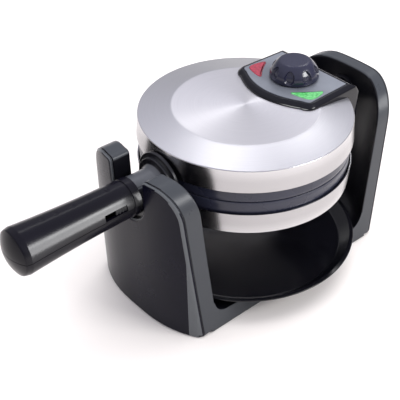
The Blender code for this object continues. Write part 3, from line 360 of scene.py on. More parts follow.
def floor_part():
    """The floor between the towers with a large fillet at each end and eased side edges."""
    edge = 0.0012
    eased = [(edge * (1 - math.sin(a)), edge * (1 - math.cos(a)))
             for a in (math.pi / 2, math.pi / 3, math.pi / 6, 0)]
    rows = [(1, out, drop) for out, drop in eased]
    rows += [(1 - 0.04 * i, 0, 0) for i in range(1, 50)]
    rows += [(-1, out, drop) for out, drop in reversed(eased)]
    sections = []
    for share, out, drop in rows:
        ring = []
        for face, way in ((front_inner, 1), (rear_inner, -1)):
            half = []
            for step in range(13):
                angle = math.pi / 2 * step / 12
                radius = FLOOR_FILLET + drop
                z = FLOOR_TOP + FLOOR_FILLET - radius * math.sin(angle)
                x = share * (HALF_WIDTH - SIDE_DRAFT * z - out)
                wall = face(x, z) + way * (FLOOR_FILLET - 0.00006)
                half.append((x, wall - way * radius * math.cos(angle), z))
            top_x, top_y, top_z = half[0]
            back = top_y - way * 0.005
            foot_x = share * (HALF_WIDTH - SIDE_DRAFT * SKIRT_BOTTOM - out)
            half = [(foot_x, back, SKIRT_BOTTOM), (top_x, back, top_z)] + half
            ring += half[::way]
        sections.append(ring)
    return loft(sections)


COVER_SEAT = COVER + SEAM
OUTER_EDGE = ((0.0011, COVER_SEAT), (0.0003, COVER_SEAT + 0.0003), (0.0, COVER_SEAT + 0.0008))
INNER_EDGE = ((0.0, 0.0030), (0.0002, 0.0017), (0.0008, 0.0007), (0.0017, 0.0001), (0.0026, 0.0))


def stepped(face, way, edge):
    """Layers (inset, face) of a tower that lie a little under one of its broad faces."""
    return [(inset, moved(face, way * depth)) for inset, depth in edge]


front = stepped(front_outer, 1, OUTER_EDGE) + stepped(front_inner, -1, INNER_EDGE)
rear = stepped(rear_outer, -1, OUTER_EDGE) + stepped(rear_inner, 1, INNER_EDGE)
base = add_object("base_moulding", *tower_solid(FRONT, front))
carve(base, tower_solid(REAR, rear[::-1]), "UNION")
carve(base, floor_part(), "UNION")


def bend(start, knee, end, steps):
    """Points of a curve from start to end that leans towards a knee."""
    shares = [step / steps for step in range(steps + 1)]
    return [tuple(start * (1 - t) ** 2 + knee * 2 * t * (1 - t) + end * t**2) for t in shares]


def rounded(corners, closed=False, steps=5):
    """Points of an (a, b) line whose corners, given as (a, b, radius), are eased."""
    points = []
    count = len(corners)
    for i, (a, b, radius) in enumerate(corners):
        here = Vector((a, b))
        if radius == 0 or (not closed and i in (0, count - 1)):
            points.append((a, b))
            continue
        to_last = Vector(corners[i - 1][:2]) - here
        to_next = Vector(corners[(i + 1) % count][:2]) - here
        half = to_last.angle(to_next) / 2
        reach = min(radius / math.tan(half), 0.49 * to_last.length, 0.49 * to_next.length)
        start, end = here + to_last.normalized() * reach, here + to_next.normalized() * reach
        points += bend(start, here, end, steps)
    return points


def turned(profile, steps, axis="Z", centre=(0, 0, 0), sweep=2 * math.pi, start=0.0):
    """A closed (radius, height) profile swept round Z or Y. A part sweep gets end faces."""
    whole = math.isclose(sweep, 2 * math.pi)
    rows = steps if whole else steps + 1
    count = len(profile)
    points = []
    for k in range(rows):
        angle = start + sweep * k / steps
        for radius, height in profile:
            across, up = radius * math.cos(angle), radius * math.sin(angle)
            spot = (across, up, height) if axis == "Z" else (across, height, up)
            points.append(tuple(a + b for a, b in zip(spot, centre)))
    faces = []
    for k in range(steps):
        low, high = k * count, (k + 1) % rows * count
        for i in range(count):
            j = (i + 1) % count
            face = [low + i, low + j] + [high + m for m in (j, i) if profile[m][0] != 0]
            if len(face) > 2:
                faces.append(face)
    if not whole:
        faces += [range(count), range(len(points) - count, len(points))]
    return points, faces


def drill(obj, centre, radius, start, end, steps=40, axis="Z"):
    """Bores a round hole from start to end along an axis."""
    profile = [(0, start), (radius, start), (radius, end), (0, end)]
    carve(obj, turned(profile, steps, axis, centre))


def prism(outline, low, high):
    return loft([[(x, y, z) for x, y in outline] for z in (low, high)])


def block(low, high):
    outline = [(low[0], low[1]), (high[0], low[1]), (high[0], high[1]), (low[0], high[1])]
    return prism(outline, low[2], high[2])


ON_AXIS = (0, 0, AXIS)
boss = rounded([(0.0134, BEARING_START, 0), (BEARING_OUTER, BEARING_START, 0.0006),
                (BEARING_OUTER, BEARING_END, 0), (0.0134, BEARING_END, 0)], True)
carve(base, turned(boss, 64, "Y", ON_AXIS), "UNION")
drill(base, ON_AXIS, BEARING_BORE, 0.135, 0.1533, 64, "Y")
for tower, layers in ((FRONT, (moved(front_outer, -0.01), moved(front_inner, -FRAME_WALL))),
                      (REAR, (moved(rear_inner, FRAME_WALL), moved(rear_outer, 0.01)))):
    carve(base, tower_solid(tower, [(FRAME_WALL, face) for face in layers], HOLLOW_BOTTOM))
side = HALF_WIDTH - SIDE_DRAFT * FLOOR_TOP - FRAME_WALL
carve(base, block((-side, HOLLOW_FRONT, HOLLOW_BOTTOM),
                  (side, HOLLOW_REAR, FLOOR_TOP - FRAME_WALL)))


def mark(obj, name, rule):
    """Gives each face a number that its material reads, from its middle and its direction."""
    layer = obj.data.attributes.new(name, "FLOAT", "FACE")
    for face, item in zip(obj.data.polygons, layer.data):
        item.value = rule(face.center - Vector((0, CENTRE.y, 0)), face.normal)


def on_painted_sheen(middle, way):
    """Faces with painted sheen: a tower's outward sides and top, outside the cradle, drawn
    lighter than the broad faces as if lit from the side.
    """
    outside = way.x * middle.x > 0 and abs(way.x) > 0.5
    above = way.z > 0.3 and middle.z > 0.12
    clear = math.hypot(middle.x, middle.z - AXIS) > CRADLE_RADIUS + 0.0012
    return float((outside or above) and clear and abs(way.y) < 0.5)


def add_shine(name, place, target, size, watts, *pieces):
    """A soft lamp that only shines back from a few pieces, as a studio's small reflector."""
    lamp = add_lamp(name, place, target, size, watts)
    lamp.visible_diffuse = lamp.visible_camera = False
    group = bpy.data.collections.new(name)
    for piece in pieces:
        group.objects.link(piece)
    lamp.light_linking.receiver_collection = group
    lamp.light_linking.blocker_collection = group


# Painted sheen: the towers' outward sides and tops take a lighter grey than the broad faces, in
# place of the light that falls on them.
mark(base, "strip", on_painted_sheen)
settle(base, "base", "base_black", painted_light_copy(SATIN_BLACK, "strip", (0.042, 0.046, 0.053)),
       "base_frame")
add_shine("shine_tower", (0.88, 1.15, 0.52), (0.07, 0.20, 0.15), (0.30, 0.50), 6, base)

# Covers: separate glossy black panels that close the outer face of each tower. A broad eased
# rim runs round them, and a thin shadow gap parts them from the moulding.
RIM = ((0.0030, 0.0), (0.0021, 0.0002), (0.0013, 0.0006), (0.0006, 0.0012),
       (0.00015, 0.0019), (0.0, 0.0023), (0.0003, 0.0028), (0.0011, COVER))


def on_rim_painted_highlight(middle, way):
    """The outer part of the eased rim, coloured light grey as a painted highlight where it would
    catch the light.
    """
    return float(0.45 < abs(way.y) < 0.88 and middle.z > 0.004)


COVER_BLACK = moulded("cover_black", (0.0032, 0.0030, 0.0090), 0.25, 0.15, specular=0.13)
# Painted highlight: the covers' rim faces are drawn light grey instead of catching the light.
COVER_WITH_PAINTED_HIGHLIGHT = painted_light_copy(COVER_BLACK, "rim", (0.115, 0.122, 0.130))
GLAND_CENTRE = (0, 0, 0.016)
for word, tower, face, way in (("front", FRONT, front_outer, 1), ("rear", REAR, rear_outer, -1)):
    cover = add_object(f"{word}_panel", *tower_solid(tower, stepped(face, way, RIM)[::way]))
    if word == "rear":
        drill(cover, GLAND_CENTRE, 0.0068, 0.140, 0.160, 48, "Y")
    mark(cover, "rim", on_rim_painted_highlight)
    settle(cover, "base", "base_black", COVER_WITH_PAINTED_HIGHLIGHT, f"{word}_cover")

# Cradle liner and rear bush: the plain bearings of the turning axis, moulded in slippery
# nylon. The liner is a half bush whose lip stands against the inside of the front tower.
BLACK_NYLON = moulded("black_nylon", (0.006, 0.006, 0.008), 0.28, 0.1, specular=0.3)


def local_box(node):
    """A solid's two corners, measured from the unit's centre line at table height."""
    return [point - Vector((0, CENTRE.y, 0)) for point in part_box(node)]


def add_turned(name, corners, steps, centre=(0, 0, 0), axis="Z", closed=False):
    return add_object(name, *turned(rounded(corners, closed), steps, axis, centre))


LINER_INNER, LINER_OUTER, LIP = 0.01755, 0.0219, 0.0014
low, high = local_box("cradle_liner")
corners = [(LINER_INNER, low.y, 0.0005), (LINER_OUTER, low.y, 0.0003),
           (LINER_OUTER, high.y - LIP, 0), (high.x, high.y - LIP, 0.0003),
           (high.x, high.y, 0.0005), (LINER_INNER, high.y, 0.0005)]
liner = turned(rounded(corners, True), 48, "Y", ON_AXIS, math.pi, math.pi)
settle(add_object("cradle_bush", *liner), "base", "nylon", BLACK_NYLON, "cradle_liner")
BUSH_INNER, BUSH_OUTER, BUSH_FLANGE = 0.0093, 0.0128, 0.0015
low, high = local_box("rear_bush")
corners = [(BUSH_INNER, low.y, 0.0004), (high.x, low.y, 0.0005),
           (high.x, low.y + BUSH_FLANGE, 0.0003), (BUSH_OUTER, low.y + BUSH_FLANGE, 0),
           (BUSH_OUTER, high.y, 0.0003), (BUSH_INNER, high.y, 0.0003)]
bush = add_turned("bearing_bush", corners, 64, ON_AXIS, "Y", True)
settle(bush, "base", "nylon", BLACK_NYLON, "rear_bush")

# Cord inlet: a soft black bush, pressed into a hole low in the rear panel. Stepped rings
# round its mouth let it give where a cord bends.
RUBBER = moulded("soft_rubber", (0.016, 0.016, 0.017), 0.70, 0.6, 1100.0, 0.3)
GLAND_BORE, GLAND_NECK, GLAND_FLANGE = 0.0036, 0.0065, 0.0085
low, high = local_box("cord_gland")
seat, ring = high.y - 0.0018, high.y - 0.0006
corners = [(GLAND_BORE, low.y, 0.0003), (GLAND_NECK, low.y, 0.0004), (GLAND_NECK, seat, 0),
           (GLAND_FLANGE, seat, 0.0003), (GLAND_FLANGE, high.y, 0.0008),
           (0.0058, high.y, 0.0003), (0.0054, ring, 0.0002), (0.0050, ring, 0.0002),
           (0.0046, high.y, 0.0003), (GLAND_BORE, high.y, 0.0004)]
gland = add_turned("inlet_bush", corners, 64, GLAND_CENTRE, "Y", True)
settle(gland, "base", "rubber_feet", RUBBER, "cord_gland")

# Underside: a flat black closing plate with four soft feet and four cross-head screws. The
# plate keeps its moulded outline; feet and screws are turned shapes set in it.
def refinish(material, *nodes):
    """Gives solids that stay as they are their finish."""
    for node in nodes:
        frame["nodes"][node].data.materials.clear()
        frame["nodes"][node].data.materials.append(material)


def middle_of(node):
    low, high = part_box(node)
    return (low.x + high.x) / 2, (low.y + high.y) / 2 - CENTRE.y


refinish(SATIN_BLACK, "bottom_plate")
FOOT_RADIUS, FOOT_NECK, FOOT_BARB = 0.009, 0.0045, 0.0062
PAD_TOP, NECK_TOP, BARB_TOP = 0.0015, 0.0043, 0.0058
corners = [(0, 0, 0), (FOOT_RADIUS - 0.0008, 0, 0.0006), (FOOT_RADIUS, PAD_TOP, 0.0004),
           (FOOT_NECK, PAD_TOP, 0), (FOOT_NECK, NECK_TOP, 0), (FOOT_BARB, NECK_TOP, 0.0003),
           (FOOT_BARB, BARB_TOP, 0.0006), (0, BARB_TOP, 0)]
for number in (1, 2, 3, 4):
    foot = add_turned(f"rubber_foot_{number}", corners, 48, (*middle_of(f"foot_{number}"), 0))
    settle(foot, "base", "rubber_feet", RUBBER, f"foot_{number}")


def open_tree(name, sizes):
    """A new Geometry Nodes tree that takes points and named sizes, with those inputs."""
    tree = bpy.data.node_groups.new(name, "GeometryNodeTree")
    tree.interface.new_socket("Geometry", in_out="INPUT", socket_type="NodeSocketGeometry")
    for label, value in sizes.items():
        entry = tree.interface.new_socket(label, in_out="INPUT", socket_type="NodeSocketFloat")
        entry.default_value = value
    tree.interface.new_socket("Geometry", in_out="OUTPUT", socket_type="NodeSocketGeometry")
    return tree, tree.nodes.new("NodeGroupInput").outputs


def close_tree(tree, given, shape, material):
    """Ends a tree: its shape stands on every point given, made real and in its material."""
    spread = add_node(tree, "GeometryNodeInstanceOnPoints", Points=given["Geometry"],
                      Instance=shape)
    real = add_node(tree, "GeometryNodeRealizeInstances", Geometry=spread.outputs["Instances"])
    dress = add_node(tree, "GeometryNodeSetMaterial", Geometry=real.outputs["Geometry"],
                     Material=material)
    add_node(tree, "NodeGroupOutput", Geometry=dress.outputs["Geometry"])
    return tree


def screw_tree():
    """Geometry Nodes: one pan-head screw with a cross recess, set on every point given."""
    tree, given = open_tree("screw_set", SCREW_SIZES)

    def solid(kind, place, **sizes):
        made = add_node(tree, kind, **sizes)
        return add_node(tree, "GeometryNodeTransform", Geometry=made.outputs["Mesh"],
                        Translation=place).outputs["Geometry"]

    def combined(operation, shapes, **first):
        node = add_node(tree, "GeometryNodeMeshBoolean", **first)
        node.solver, node.operation = "EXACT", operation
        for shape in shapes:
            tree.links.new(shape, node.inputs["Mesh 2"])
        return node.outputs["Mesh"]

    head = solid("GeometryNodeMeshCylinder", (0, 0, 0.00045), Vertices=32,
                 Radius=given["Head Radius"], Depth=given["Head Height"])
    shank = solid("GeometryNodeMeshCylinder", (0, 0, 0.0063), Vertices=24,
                  Radius=given["Shank Radius"], Depth=given["Shank Length"])
    slots = [solid("GeometryNodeMeshCube", (0, 0, 0.0001), Size=size)
             for size in ((0.0032, 0.0006, 0.001), (0.0006, 0.0032, 0.001))]
    whole, cross = combined("UNION", (head, shank)), combined("UNION", slots)
    return close_tree(tree, given, combined("DIFFERENCE", [cross], Mesh_1=whole), PLATED)


def grown(name, points, tree, sizes):
    """A plain mesh of what a Geometry Nodes tree makes on these points."""
    obj = add_object(name, points, [])
    modifier = obj.modifiers.new(name, "NODES")
    modifier.node_group = tree
    for item in tree.interface.items_tree:
        if item.name in sizes:
            modifier[item.identifier] = sizes[item.name]
    obj.update_tag()
    bpy.context.view_layer.update()
    return evaluated(obj)


PLATED = moulded("zinc_plate", (0.58, 0.58, 0.57), 0.26, 0.12, 500.0, metal=1.0)
SCREW_SIZES = {"Head Radius": 0.0032, "Head Height": 0.0009, "Shank Radius": 0.0016,
               "Shank Length": 0.011}
SCREWS = [f"base_screw_{number}" for number in (1, 2, 3, 4)]
screw_points = [(*middle_of(node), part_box(node)[0].z) for node in SCREWS]
screws = grown("plate_screws", screw_points, screw_tree(), SCREW_SIZES)
settle(screws, "base", "plated_steel", PLATED, *SCREWS)

# Terminal block: a plain nylon block inside the rear of the base, where the cord's wires are
# joined to the machine's own. Nothing shows it from outside, so it keeps its moulded form.
WHITE_NYLON = moulded("white_nylon", (0.62, 0.60, 0.54), 0.42, 0.12, 900.0)
refinish(WHITE_NYLON, "terminal_block")

# Drip tray: a round glossy black dish with a rolled lip, moulded in one piece. It lies loose
# on the floor under the cooking unit, where it catches batter, and lifts out to be washed.
TRAY_BLACK = moulded("tray_gloss", (0.004, 0.004, 0.006), 0.14, 0.05, specular=0.30)
TRAY_WALL = 0.0016
low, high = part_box("drip_tray")
corners = [(0, low.z, 0), (high.x - 0.0135, low.z, 0.004),
           (high.x - 0.0022, high.z - TRAY_WALL, 0.0008), (high.x, high.z - TRAY_WALL, 0.0007),
           (high.x, high.z, 0.0007), (high.x - 0.0038, high.z, 0.0010),
           (high.x - 0.0143, low.z + TRAY_WALL, 0.004), (0, low.z + TRAY_WALL, 0)]
tray = add_turned("drip_dish", corners, 192)
settle(tray, "tray", "tray_black", TRAY_BLACK, "drip_tray")

# Steel shells: two pressed covers in brushed stainless steel, the lower a mirror of the
# upper. Each has a flat crown, a shallow cone round it, an eased rim and a wall that flares
# a little to its skirt. The brushing runs round the axis.
def spun_steel():
    """Steel brushed in circles: fine rings that vary round the axis, stretched highlights, and
    painted shade that darkens it from the crown out over the cone to the wall.
    """
    material, tree, shader = new_finish("spun_steel")

    def calc(operation, *values):
        node = tree.nodes.new("ShaderNodeMath")
        node.operation = operation
        for socket, value in zip(node.inputs, values):
            feed(tree, socket, value)
        return node.outputs["Value"]

    place = add_node(tree, "ShaderNodeTexCoord").outputs["Object"]
    centred = add_node(tree, "ShaderNodeMapping", Vector=place, Location=(0, -CENTRE.y, -AXIS))
    x, y, z = add_node(tree, "ShaderNodeSeparateXYZ", Vector=centred.outputs["Vector"]).outputs
    reach = calc("SQRT", calc("ADD", calc("MULTIPLY", x, x), calc("MULTIPLY", y, y)))
    round_axis = calc("SINE", calc("ARCTAN2", y, x))
    rings = add_node(tree, "ShaderNodeCombineXYZ", X=calc("MULTIPLY", reach, RING_PITCH),
                     Y=calc("MULTIPLY", round_axis, 2.0), Z=calc("MULTIPLY", z, RING_PITCH))
    streaks = add_node(tree, "ShaderNodeTexNoise", Vector=rings.outputs["Vector"], Scale=1.0,
                       Detail=3.0).outputs["Fac"]
    tint = ramp(tree, streaks, (0, (0.76, 0.755, 0.765)), (1, (0.90, 0.890, 0.900)))
    # Painted shade: the colour is lightest on the crown, darker on the cone and darkest on the
    # wall, in place of the dimmer reflections there.
    zone = ranged(tree, reach, 0.068, 0.108, 0, 1)
    painted_shade = ramp(tree, zone, (0.07, (1.0, 0.995, 1.0)), (0.94, (0.50, 0.495, 0.50)),
                (0.12, (0.82, 0.82, 0.83)), (0.90, (0.82, 0.82, 0.83)))
    sheen = ranged(tree, streaks, 0, 1, 0.26, 0.38)
    disc = ranged(tree, reach, 0.070, 0.074, 0.27, 0)
    wall = ranged(tree, reach, 0.1035, 0.1048, 0, 0.10)
    tangent = tree.nodes.new("ShaderNodeTangent")
    tangent.direction_type, tangent.axis = "RADIAL", "Z"
    wire(tree, shader, Base_Color=mixed(tree, 1, tint, painted_shade, "MULTIPLY"), Metallic=1,
         Roughness=calc("SUBTRACT", calc("ADD", sheen, disc), wall), Anisotropic=0.68,
         Normal=relief(tree, streaks, 0.10, 0.00004), Tangent=tangent.outputs["Tangent"])
    return material


RING_PITCH = 2600.0
SPUN_STEEL = spun_steel()
STEEL_RADIUS, STEEL_FLARE, STEEL_WALL = 0.105, 0.0014, 0.001
CROWN_RADIUS, CROWN_RISE, RIM_RISE, SKIRT_RISE = 0.072, 0.0407, 0.0347, 0.0125


def shell_line(out):
    """Outside of a shell from its crown's middle to its skirt, grown by out."""
    corners = [(0, CROWN_RISE + out, 0), (CROWN_RADIUS, CROWN_RISE + out, 0.012),
               (STEEL_RADIUS - 0.0002 + out / 2, RIM_RISE + out / 2, 0.0012),
               (STEEL_RADIUS + STEEL_FLARE + out, SKIRT_RISE, 0)]
    return rounded(corners, steps=9)


def add_round(name, line, side=1, steps=192):
    """A piece turned from a (radius, rise) line, above or below the parting plane."""
    return add_object(name, *turned([(r, AXIS + side * rise) for r, rise in line], steps))


HALVES = (("lower", -1, "lower_half"), ("upper", 1, "lid"))
DIAL_SPOT = (0, middle_of("dial_shaft")[1], 0)
SHAFT_HOLE = 0.0045
for word, side, body in HALVES:
    shell = add_round(f"{word}_cover", shell_line(0) + shell_line(-STEEL_WALL)[::-1], side)
    if side > 0:
        drill(shell, DIAL_SPOT, SHAFT_HOLE, AXIS + 0.030, AXIS + 0.050)
    settle(shell, body, "brushed_shell", SPUN_STEEL, f"{word}_shell")

# Bands: heat-proof rings in dark blue-grey plastic round the plates. They meet at the
# parting plane in a thin seam, and a step tucks their lip under the steel.
BAND_PLASTIC = moulded("band_plastic", (0.024, 0.026, 0.044), 0.27, 0.12, specular=0.4)
BAND_INNER, BAND_OUTER, BAND_STEP, BAND_LIP = 0.0948, 0.1038, 0.1030, 0.1010
BAND_LOW, BAND_FOOT, BAND_TOP, LIP_TOP = 0.0004, 0.0030, 0.0122, 0.020
corners = [(BAND_INNER, BAND_LOW, 0.0003), (BAND_OUTER, BAND_LOW, 0.0009),
           (BAND_OUTER + 0.0004, BAND_FOOT, 0.0004), (BAND_OUTER, BAND_TOP, 0.0004),
           (BAND_STEP, BAND_TOP, 0), (BAND_STEP, LIP_TOP, 0.0003), (BAND_LIP, LIP_TOP, 0.0003),
           (BAND_LIP, BAND_FOOT, 0), (BAND_INNER, BAND_FOOT, 0.0003)]
for word, side, body in HALVES:
    band = add_round(f"{word}_ring", rounded(corners, True), side)
    settle(band, body, "band_plastic", BAND_PLASTIC, f"{word}_band")

# Waffle plates: dark coated castings. Each is a round pocket whose floor carries a square
# grid of tapered bosses; the grid is grown on its centres with Geometry Nodes.
COATED = moulded("non_stick", (0.030, 0.030, 0.032), 0.44, 0.8, 900.0)
PLATE_RADIUS, POCKET_RADIUS = 0.0945, 0.0880
PLATE_FACE, POCKET_DEPTH, PLATE_THICKNESS = 0.0012, 0.0095, 0.013
BOSS_PITCH, BOSS_BASE, BOSS_TOP, BOSS_TIP = 0.017, 0.0115, 0.0085, 0.0038
BOSS_ROOT = PLATE_FACE + POCKET_DEPTH + 0.001
BOSS_SIZES = {"Root Radius": BOSS_BASE * math.sqrt(0.5), "Tip Radius": BOSS_TOP * math.sqrt(0.5),
              "Height": BOSS_ROOT - BOSS_TIP}


def boss_tree():
    """Geometry Nodes: a four-sided tapered boss on every point given."""
    tree, given = open_tree("boss_grid", BOSS_SIZES)
    cone = add_node(tree, "GeometryNodeMeshCone", Vertices=4, Depth=given["Height"],
                    Radius_Bottom=given["Root Radius"], Radius_Top=given["Tip Radius"])
    quarter = add_node(tree, "GeometryNodeTransform", Geometry=cone.outputs["Mesh"],
                       Rotation=(0, 0, math.pi / 4))
    return close_tree(tree, given, quarter.outputs["Geometry"], COATED)


BOSS_TREE = boss_tree()


def add_plate(name, side):
    """A pocketed plate above or below the parting plane, with its grid of bosses."""
    floor, back = PLATE_FACE + POCKET_DEPTH, PLATE_FACE + PLATE_THICKNESS
    corners = [(0, floor, 0), (POCKET_RADIUS - 0.0016, floor, 0.0016),
               (POCKET_RADIUS, PLATE_FACE, 0.0006), (PLATE_RADIUS, PLATE_FACE, 0.0008),
               (PLATE_RADIUS, back, 0.001), (0, back, 0)]
    plate = add_round(name, rounded(corners), side, 144)
    middles = [(step + 0.5) * BOSS_PITCH for step in range(-6, 6)]
    spots = [(x, y, AXIS + side * BOSS_ROOT) for x in middles for y in middles
             if math.hypot(x, y) < POCKET_RADIUS - BOSS_BASE * 0.95]
    grid = grown(name + "_grid", spots, BOSS_TREE, BOSS_SIZES)
    if side > 0:
        for vertex in grid.data.vertices:
            vertex.co.z = 2 * (AXIS + BOSS_ROOT) - vertex.co.z
        grid.data.flip_normals()
    ease = grid.modifiers.new("ease", "BEVEL")
    ease.width, ease.segments = 0.0008, 3
    return carve(plate, evaluated(grid), "UNION")


for word, side, body in HALVES:
    settle(add_plate(f"{word}_grid_plate", side), body, "cast_plate", COATED, f"{word}_plate")

# Inner parts of the two halves: sheathed elements behind the plates, the thermostat and the
# thermal fuse. They stay as they are and get their own finishes.
refinish(PLATED, "lower_element", "upper_element", "dial_shaft", "shaft_clip")
refinish(WHITE_NYLON, "thermostat", "thermal_fuse")

# Trunnion: the hollow front pivot, split with the handle along the parting plane. A flange
# and a ring stand against the band, and the satin neck turns in the cradle.
NECK_BLACK = moulded("neck_satin", (0.007, 0.007, 0.010), 0.30, 0.2, specular=0.4)
HALF_GAP = 0.0005


def half_turned(name, profile, side):
    start = 0 if side > 0 else math.pi
    centre = (0, 0, AXIS + side * HALF_GAP / 2)
    return add_object(name, *turned(profile, 128, "Y", centre, math.pi, start))


low, high = local_box("upper_trunnion")
flange, end = high.y, low.y
BORE, FLANGE_RADIUS, RING_RADIUS, NECK_RADIUS = 0.011, 0.029, 0.0245, 0.0170
corners = [(BORE, flange, 0), (FLANGE_RADIUS, flange, 0.0004),
           (FLANGE_RADIUS, flange - 0.0032, 0.0012), (0.0262, flange - 0.0032, 0.0006),
           (RING_RADIUS, flange - 0.0040, 0.0004), (RING_RADIUS, flange - 0.0067, 0.0010),
           (0.0195, flange - 0.0067, 0.0020), (0.0171, flange - 0.0120, 0.004),
           (NECK_RADIUS, end, 0.0003), (BORE, end, 0.0003)]


def on_saddle_painted_sheen(middle, way):
    """The saddle along the top of the neck, drawn lighter as a painted sheen on its upward
    faces.
    """
    return float(way.z > 0.72 and middle.y < flange - 0.0075)


def beside_saddle(y, reach, turn):
    """The neck falls back a little on each side of its saddle."""
    return 0.0005 if 0.0160 < reach < 0.0176 and abs(turn) > math.radians(37) else 0


def press(obj, depth_at):
    """Sinks a skin towards the turning axis by a depth for each place."""
    for vertex in obj.data.vertices:
        x, z = vertex.co.x, vertex.co.z - AXIS
        reach = math.hypot(x, z)
        depth = depth_at(CENTRE.y - vertex.co.y, reach, math.atan2(x, z))
        if depth > 0:
            vertex.co.x -= depth * x / reach
            vertex.co.z -= depth * z / reach


# Painted sheen: the upward faces of the neck's saddle take a lighter grey, in place of the light
# reflected from above.
NECK_PAINTED_SHEEN = painted_light_copy(NECK_BLACK, "saddle", (0.060, 0.063, 0.072))
for word, side, body in HALVES:
    neck = half_turned(f"{word}_pivot", rounded(corners, True), side)
    if side > 0:
        mark(neck, "saddle", on_saddle_painted_sheen)
        press(neck, beside_saddle)
    settle(neck, body, "handle_black", NECK_PAINTED_SHEEN, f"{word}_trunnion")

# Handle: two half shells that meet at the parting plane, so that the pair locks the lid. The
# grip swells towards its domed end; the upper half has five thumb dimples and the latch slot.
HANDLE_BLACK = moulded("handle_black", (0.0026, 0.0022, 0.0056), 0.24, 0.20, specular=0.20)
low, high = local_box("upper_handle")
GRIP_START, GRIP_END = -high.y, -low.y
GRIP_DOME, GRIP_EDGE, GRIP_WALL, GROOVE_DEPTH = 0.0115, 0.0062, 0.003, 0.0009
GRIP_INNER, GRIP_OUTER = 0.0182, 0.0223
DIMPLES = (0.1665, 0.187, 0.203, 0.220, 0.234)
DIMPLE_LONG, DIMPLE_WIDE, DIMPLE_DEPTH = 0.0026, 0.0036, 0.0007
SLOT_START, SLOT_LENGTH, SLOT_HEIGHT, SLOT_RISE = 0.0168, 0.0243, 0.0062, 0.0009


def grip_section():
    """Half of the grip's section: collar, groove, swell, domed end and the hollow inside."""
    collar, groove = GRIP_START + 0.008, GRIP_START + 0.0098
    swell_start, dome = groove + 0.004, GRIP_END - GRIP_DOME
    line = rounded([(0.012, -GRIP_START, 0), (GRIP_INNER, -GRIP_START, 0.0006),
                    (GRIP_INNER, -collar, 0.0004),
                    (GRIP_INNER - GROOVE_DEPTH, -collar - 0.0002, 0.0002),
                    (GRIP_INNER - GROOVE_DEPTH, -groove + 0.0002, 0.0002),
                    (GRIP_INNER, -groove, 0.0003), (GRIP_INNER, -swell_start, 0)], steps=4)[1:]
    for step in range(1, 180):
        share = step / 179
        line.append((GRIP_INNER + (GRIP_OUTER - GRIP_INNER) * share**1.9,
                     -(swell_start + (dome - swell_start) * share)))
    edge = GRIP_OUTER - 0.0012
    sphere = (edge**2 + GRIP_EDGE**2) / (2 * GRIP_EDGE)
    corners = [(GRIP_OUTER, -dome, 0), (edge, GRIP_EDGE - GRIP_END, 0.0052)]
    for step in range(1, 12):
        r = edge * (1 - step / 12)
        corners.append((r, -(GRIP_END - sphere + math.sqrt(sphere**2 - r**2)), 0))
    line += rounded(corners, steps=12)[1:] + [(0, -GRIP_END)]
    start = -GRIP_START - 0.014
    hollow = [(GRIP_INNER - GRIP_WALL, start), (GRIP_INNER - GRIP_WALL, -0.18),
              (GRIP_OUTER - GRIP_WALL, -GRIP_END + 0.016), (0.014, -GRIP_END + 0.006),
              (0, -GRIP_END + 0.004)]
    return line + hollow[::-1] + [(BORE, start), (BORE, -GRIP_START)]


def in_dimple(y, reach, turn):
    """Five shallow ovals lie along the top of the upper half."""
    if reach < 0.016 or abs(turn) > math.pi / 2:
        return 0
    away = min(math.hypot((y - centre) / DIMPLE_LONG, turn * reach / DIMPLE_WIDE)
               for centre in DIMPLES)
    return DIMPLE_DEPTH * max(1 - away**2, 0) ** 1.5


lower_grip = half_turned("lower_grip", grip_section(), -1)
settle(lower_grip, "lower_half", "handle_black", HANDLE_BLACK, "lower_handle")
upper_grip = half_turned("upper_grip", grip_section(), 1)
press(upper_grip, in_dimple)
slot_low = (0.0061, -(GRIP_START + SLOT_START + SLOT_LENGTH), AXIS + SLOT_RISE)
slot_high = (0.033, -(GRIP_START + SLOT_START), AXIS + SLOT_RISE + SLOT_HEIGHT)
carve(upper_grip, block(slot_low, slot_high))
settle(upper_grip, "lid", "handle_black", HANDLE_BLACK, "upper_handle")
add_shine("shine_grip", (1.10, 0.33, 0.24), (0, -0.15, 0.14), (0.50, 1.30), 44,
          lower_grip, upper_grip)

# Latch: a small die-cast thumb slide in the slot of the upper half. It is pushed along the
# grip to lock the two halves; three grooves across it hold the thumb.
LATCH_BLACK = moulded("latch_black", (0.020, 0.021, 0.024), 0.32, 0.15)


def eased_copy(name, node, width):
    """A copy of a solid with its faces merged and its edges eased."""
    obj = frame["nodes"][node].copy()
    obj.data = obj.data.copy()
    obj.name, obj.parent = name, None
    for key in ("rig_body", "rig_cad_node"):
        if key in obj:
            del obj[key]
    shown(obj)
    work = merged(obj.data)
    bmesh.ops.dissolve_limit(work, angle_limit=math.radians(1.0), verts=work.verts,
                             edges=work.edges)
    work.to_mesh(obj.data)
    work.free()
    ease = obj.modifiers.new("ease", "BEVEL")
    ease.width, ease.segments = width, 3
    ease.limit_method, ease.angle_limit = "ANGLE", math.radians(40)
    return evaluated(obj)


latch = eased_copy("latch_slide", "handle_latch", 0.0004)
settle(latch, "latch", "die_cast", LATCH_BLACK, "handle_latch")

# Control box: a glossy black housing over the rear of the lid, open below, its underside cut
# to the cone of the steel. A raised rim frames the satin grey panel.
GLOSS_BLACK = moulded("gloss_black", (0.0030, 0.0030, 0.0062), 0.16, 0.03, specular=0.30)
BOX_HALF, BOX_FLARE, BOX_BACK, BOX_FRONT = 0.0505, 0.0018, 0.1005, 0.0190
BOX_SAG, BOX_CORNER, BOX_RISE, PANEL_INSET = 0.0140, 0.011, 0.0463, 0.0062
BACK_BEND, BACK_SLOPE, BACK_REACH, BOX_WALL, BOX_EASE = 0.0355, 0.0078, 0.004, 0.0024, 0.0014


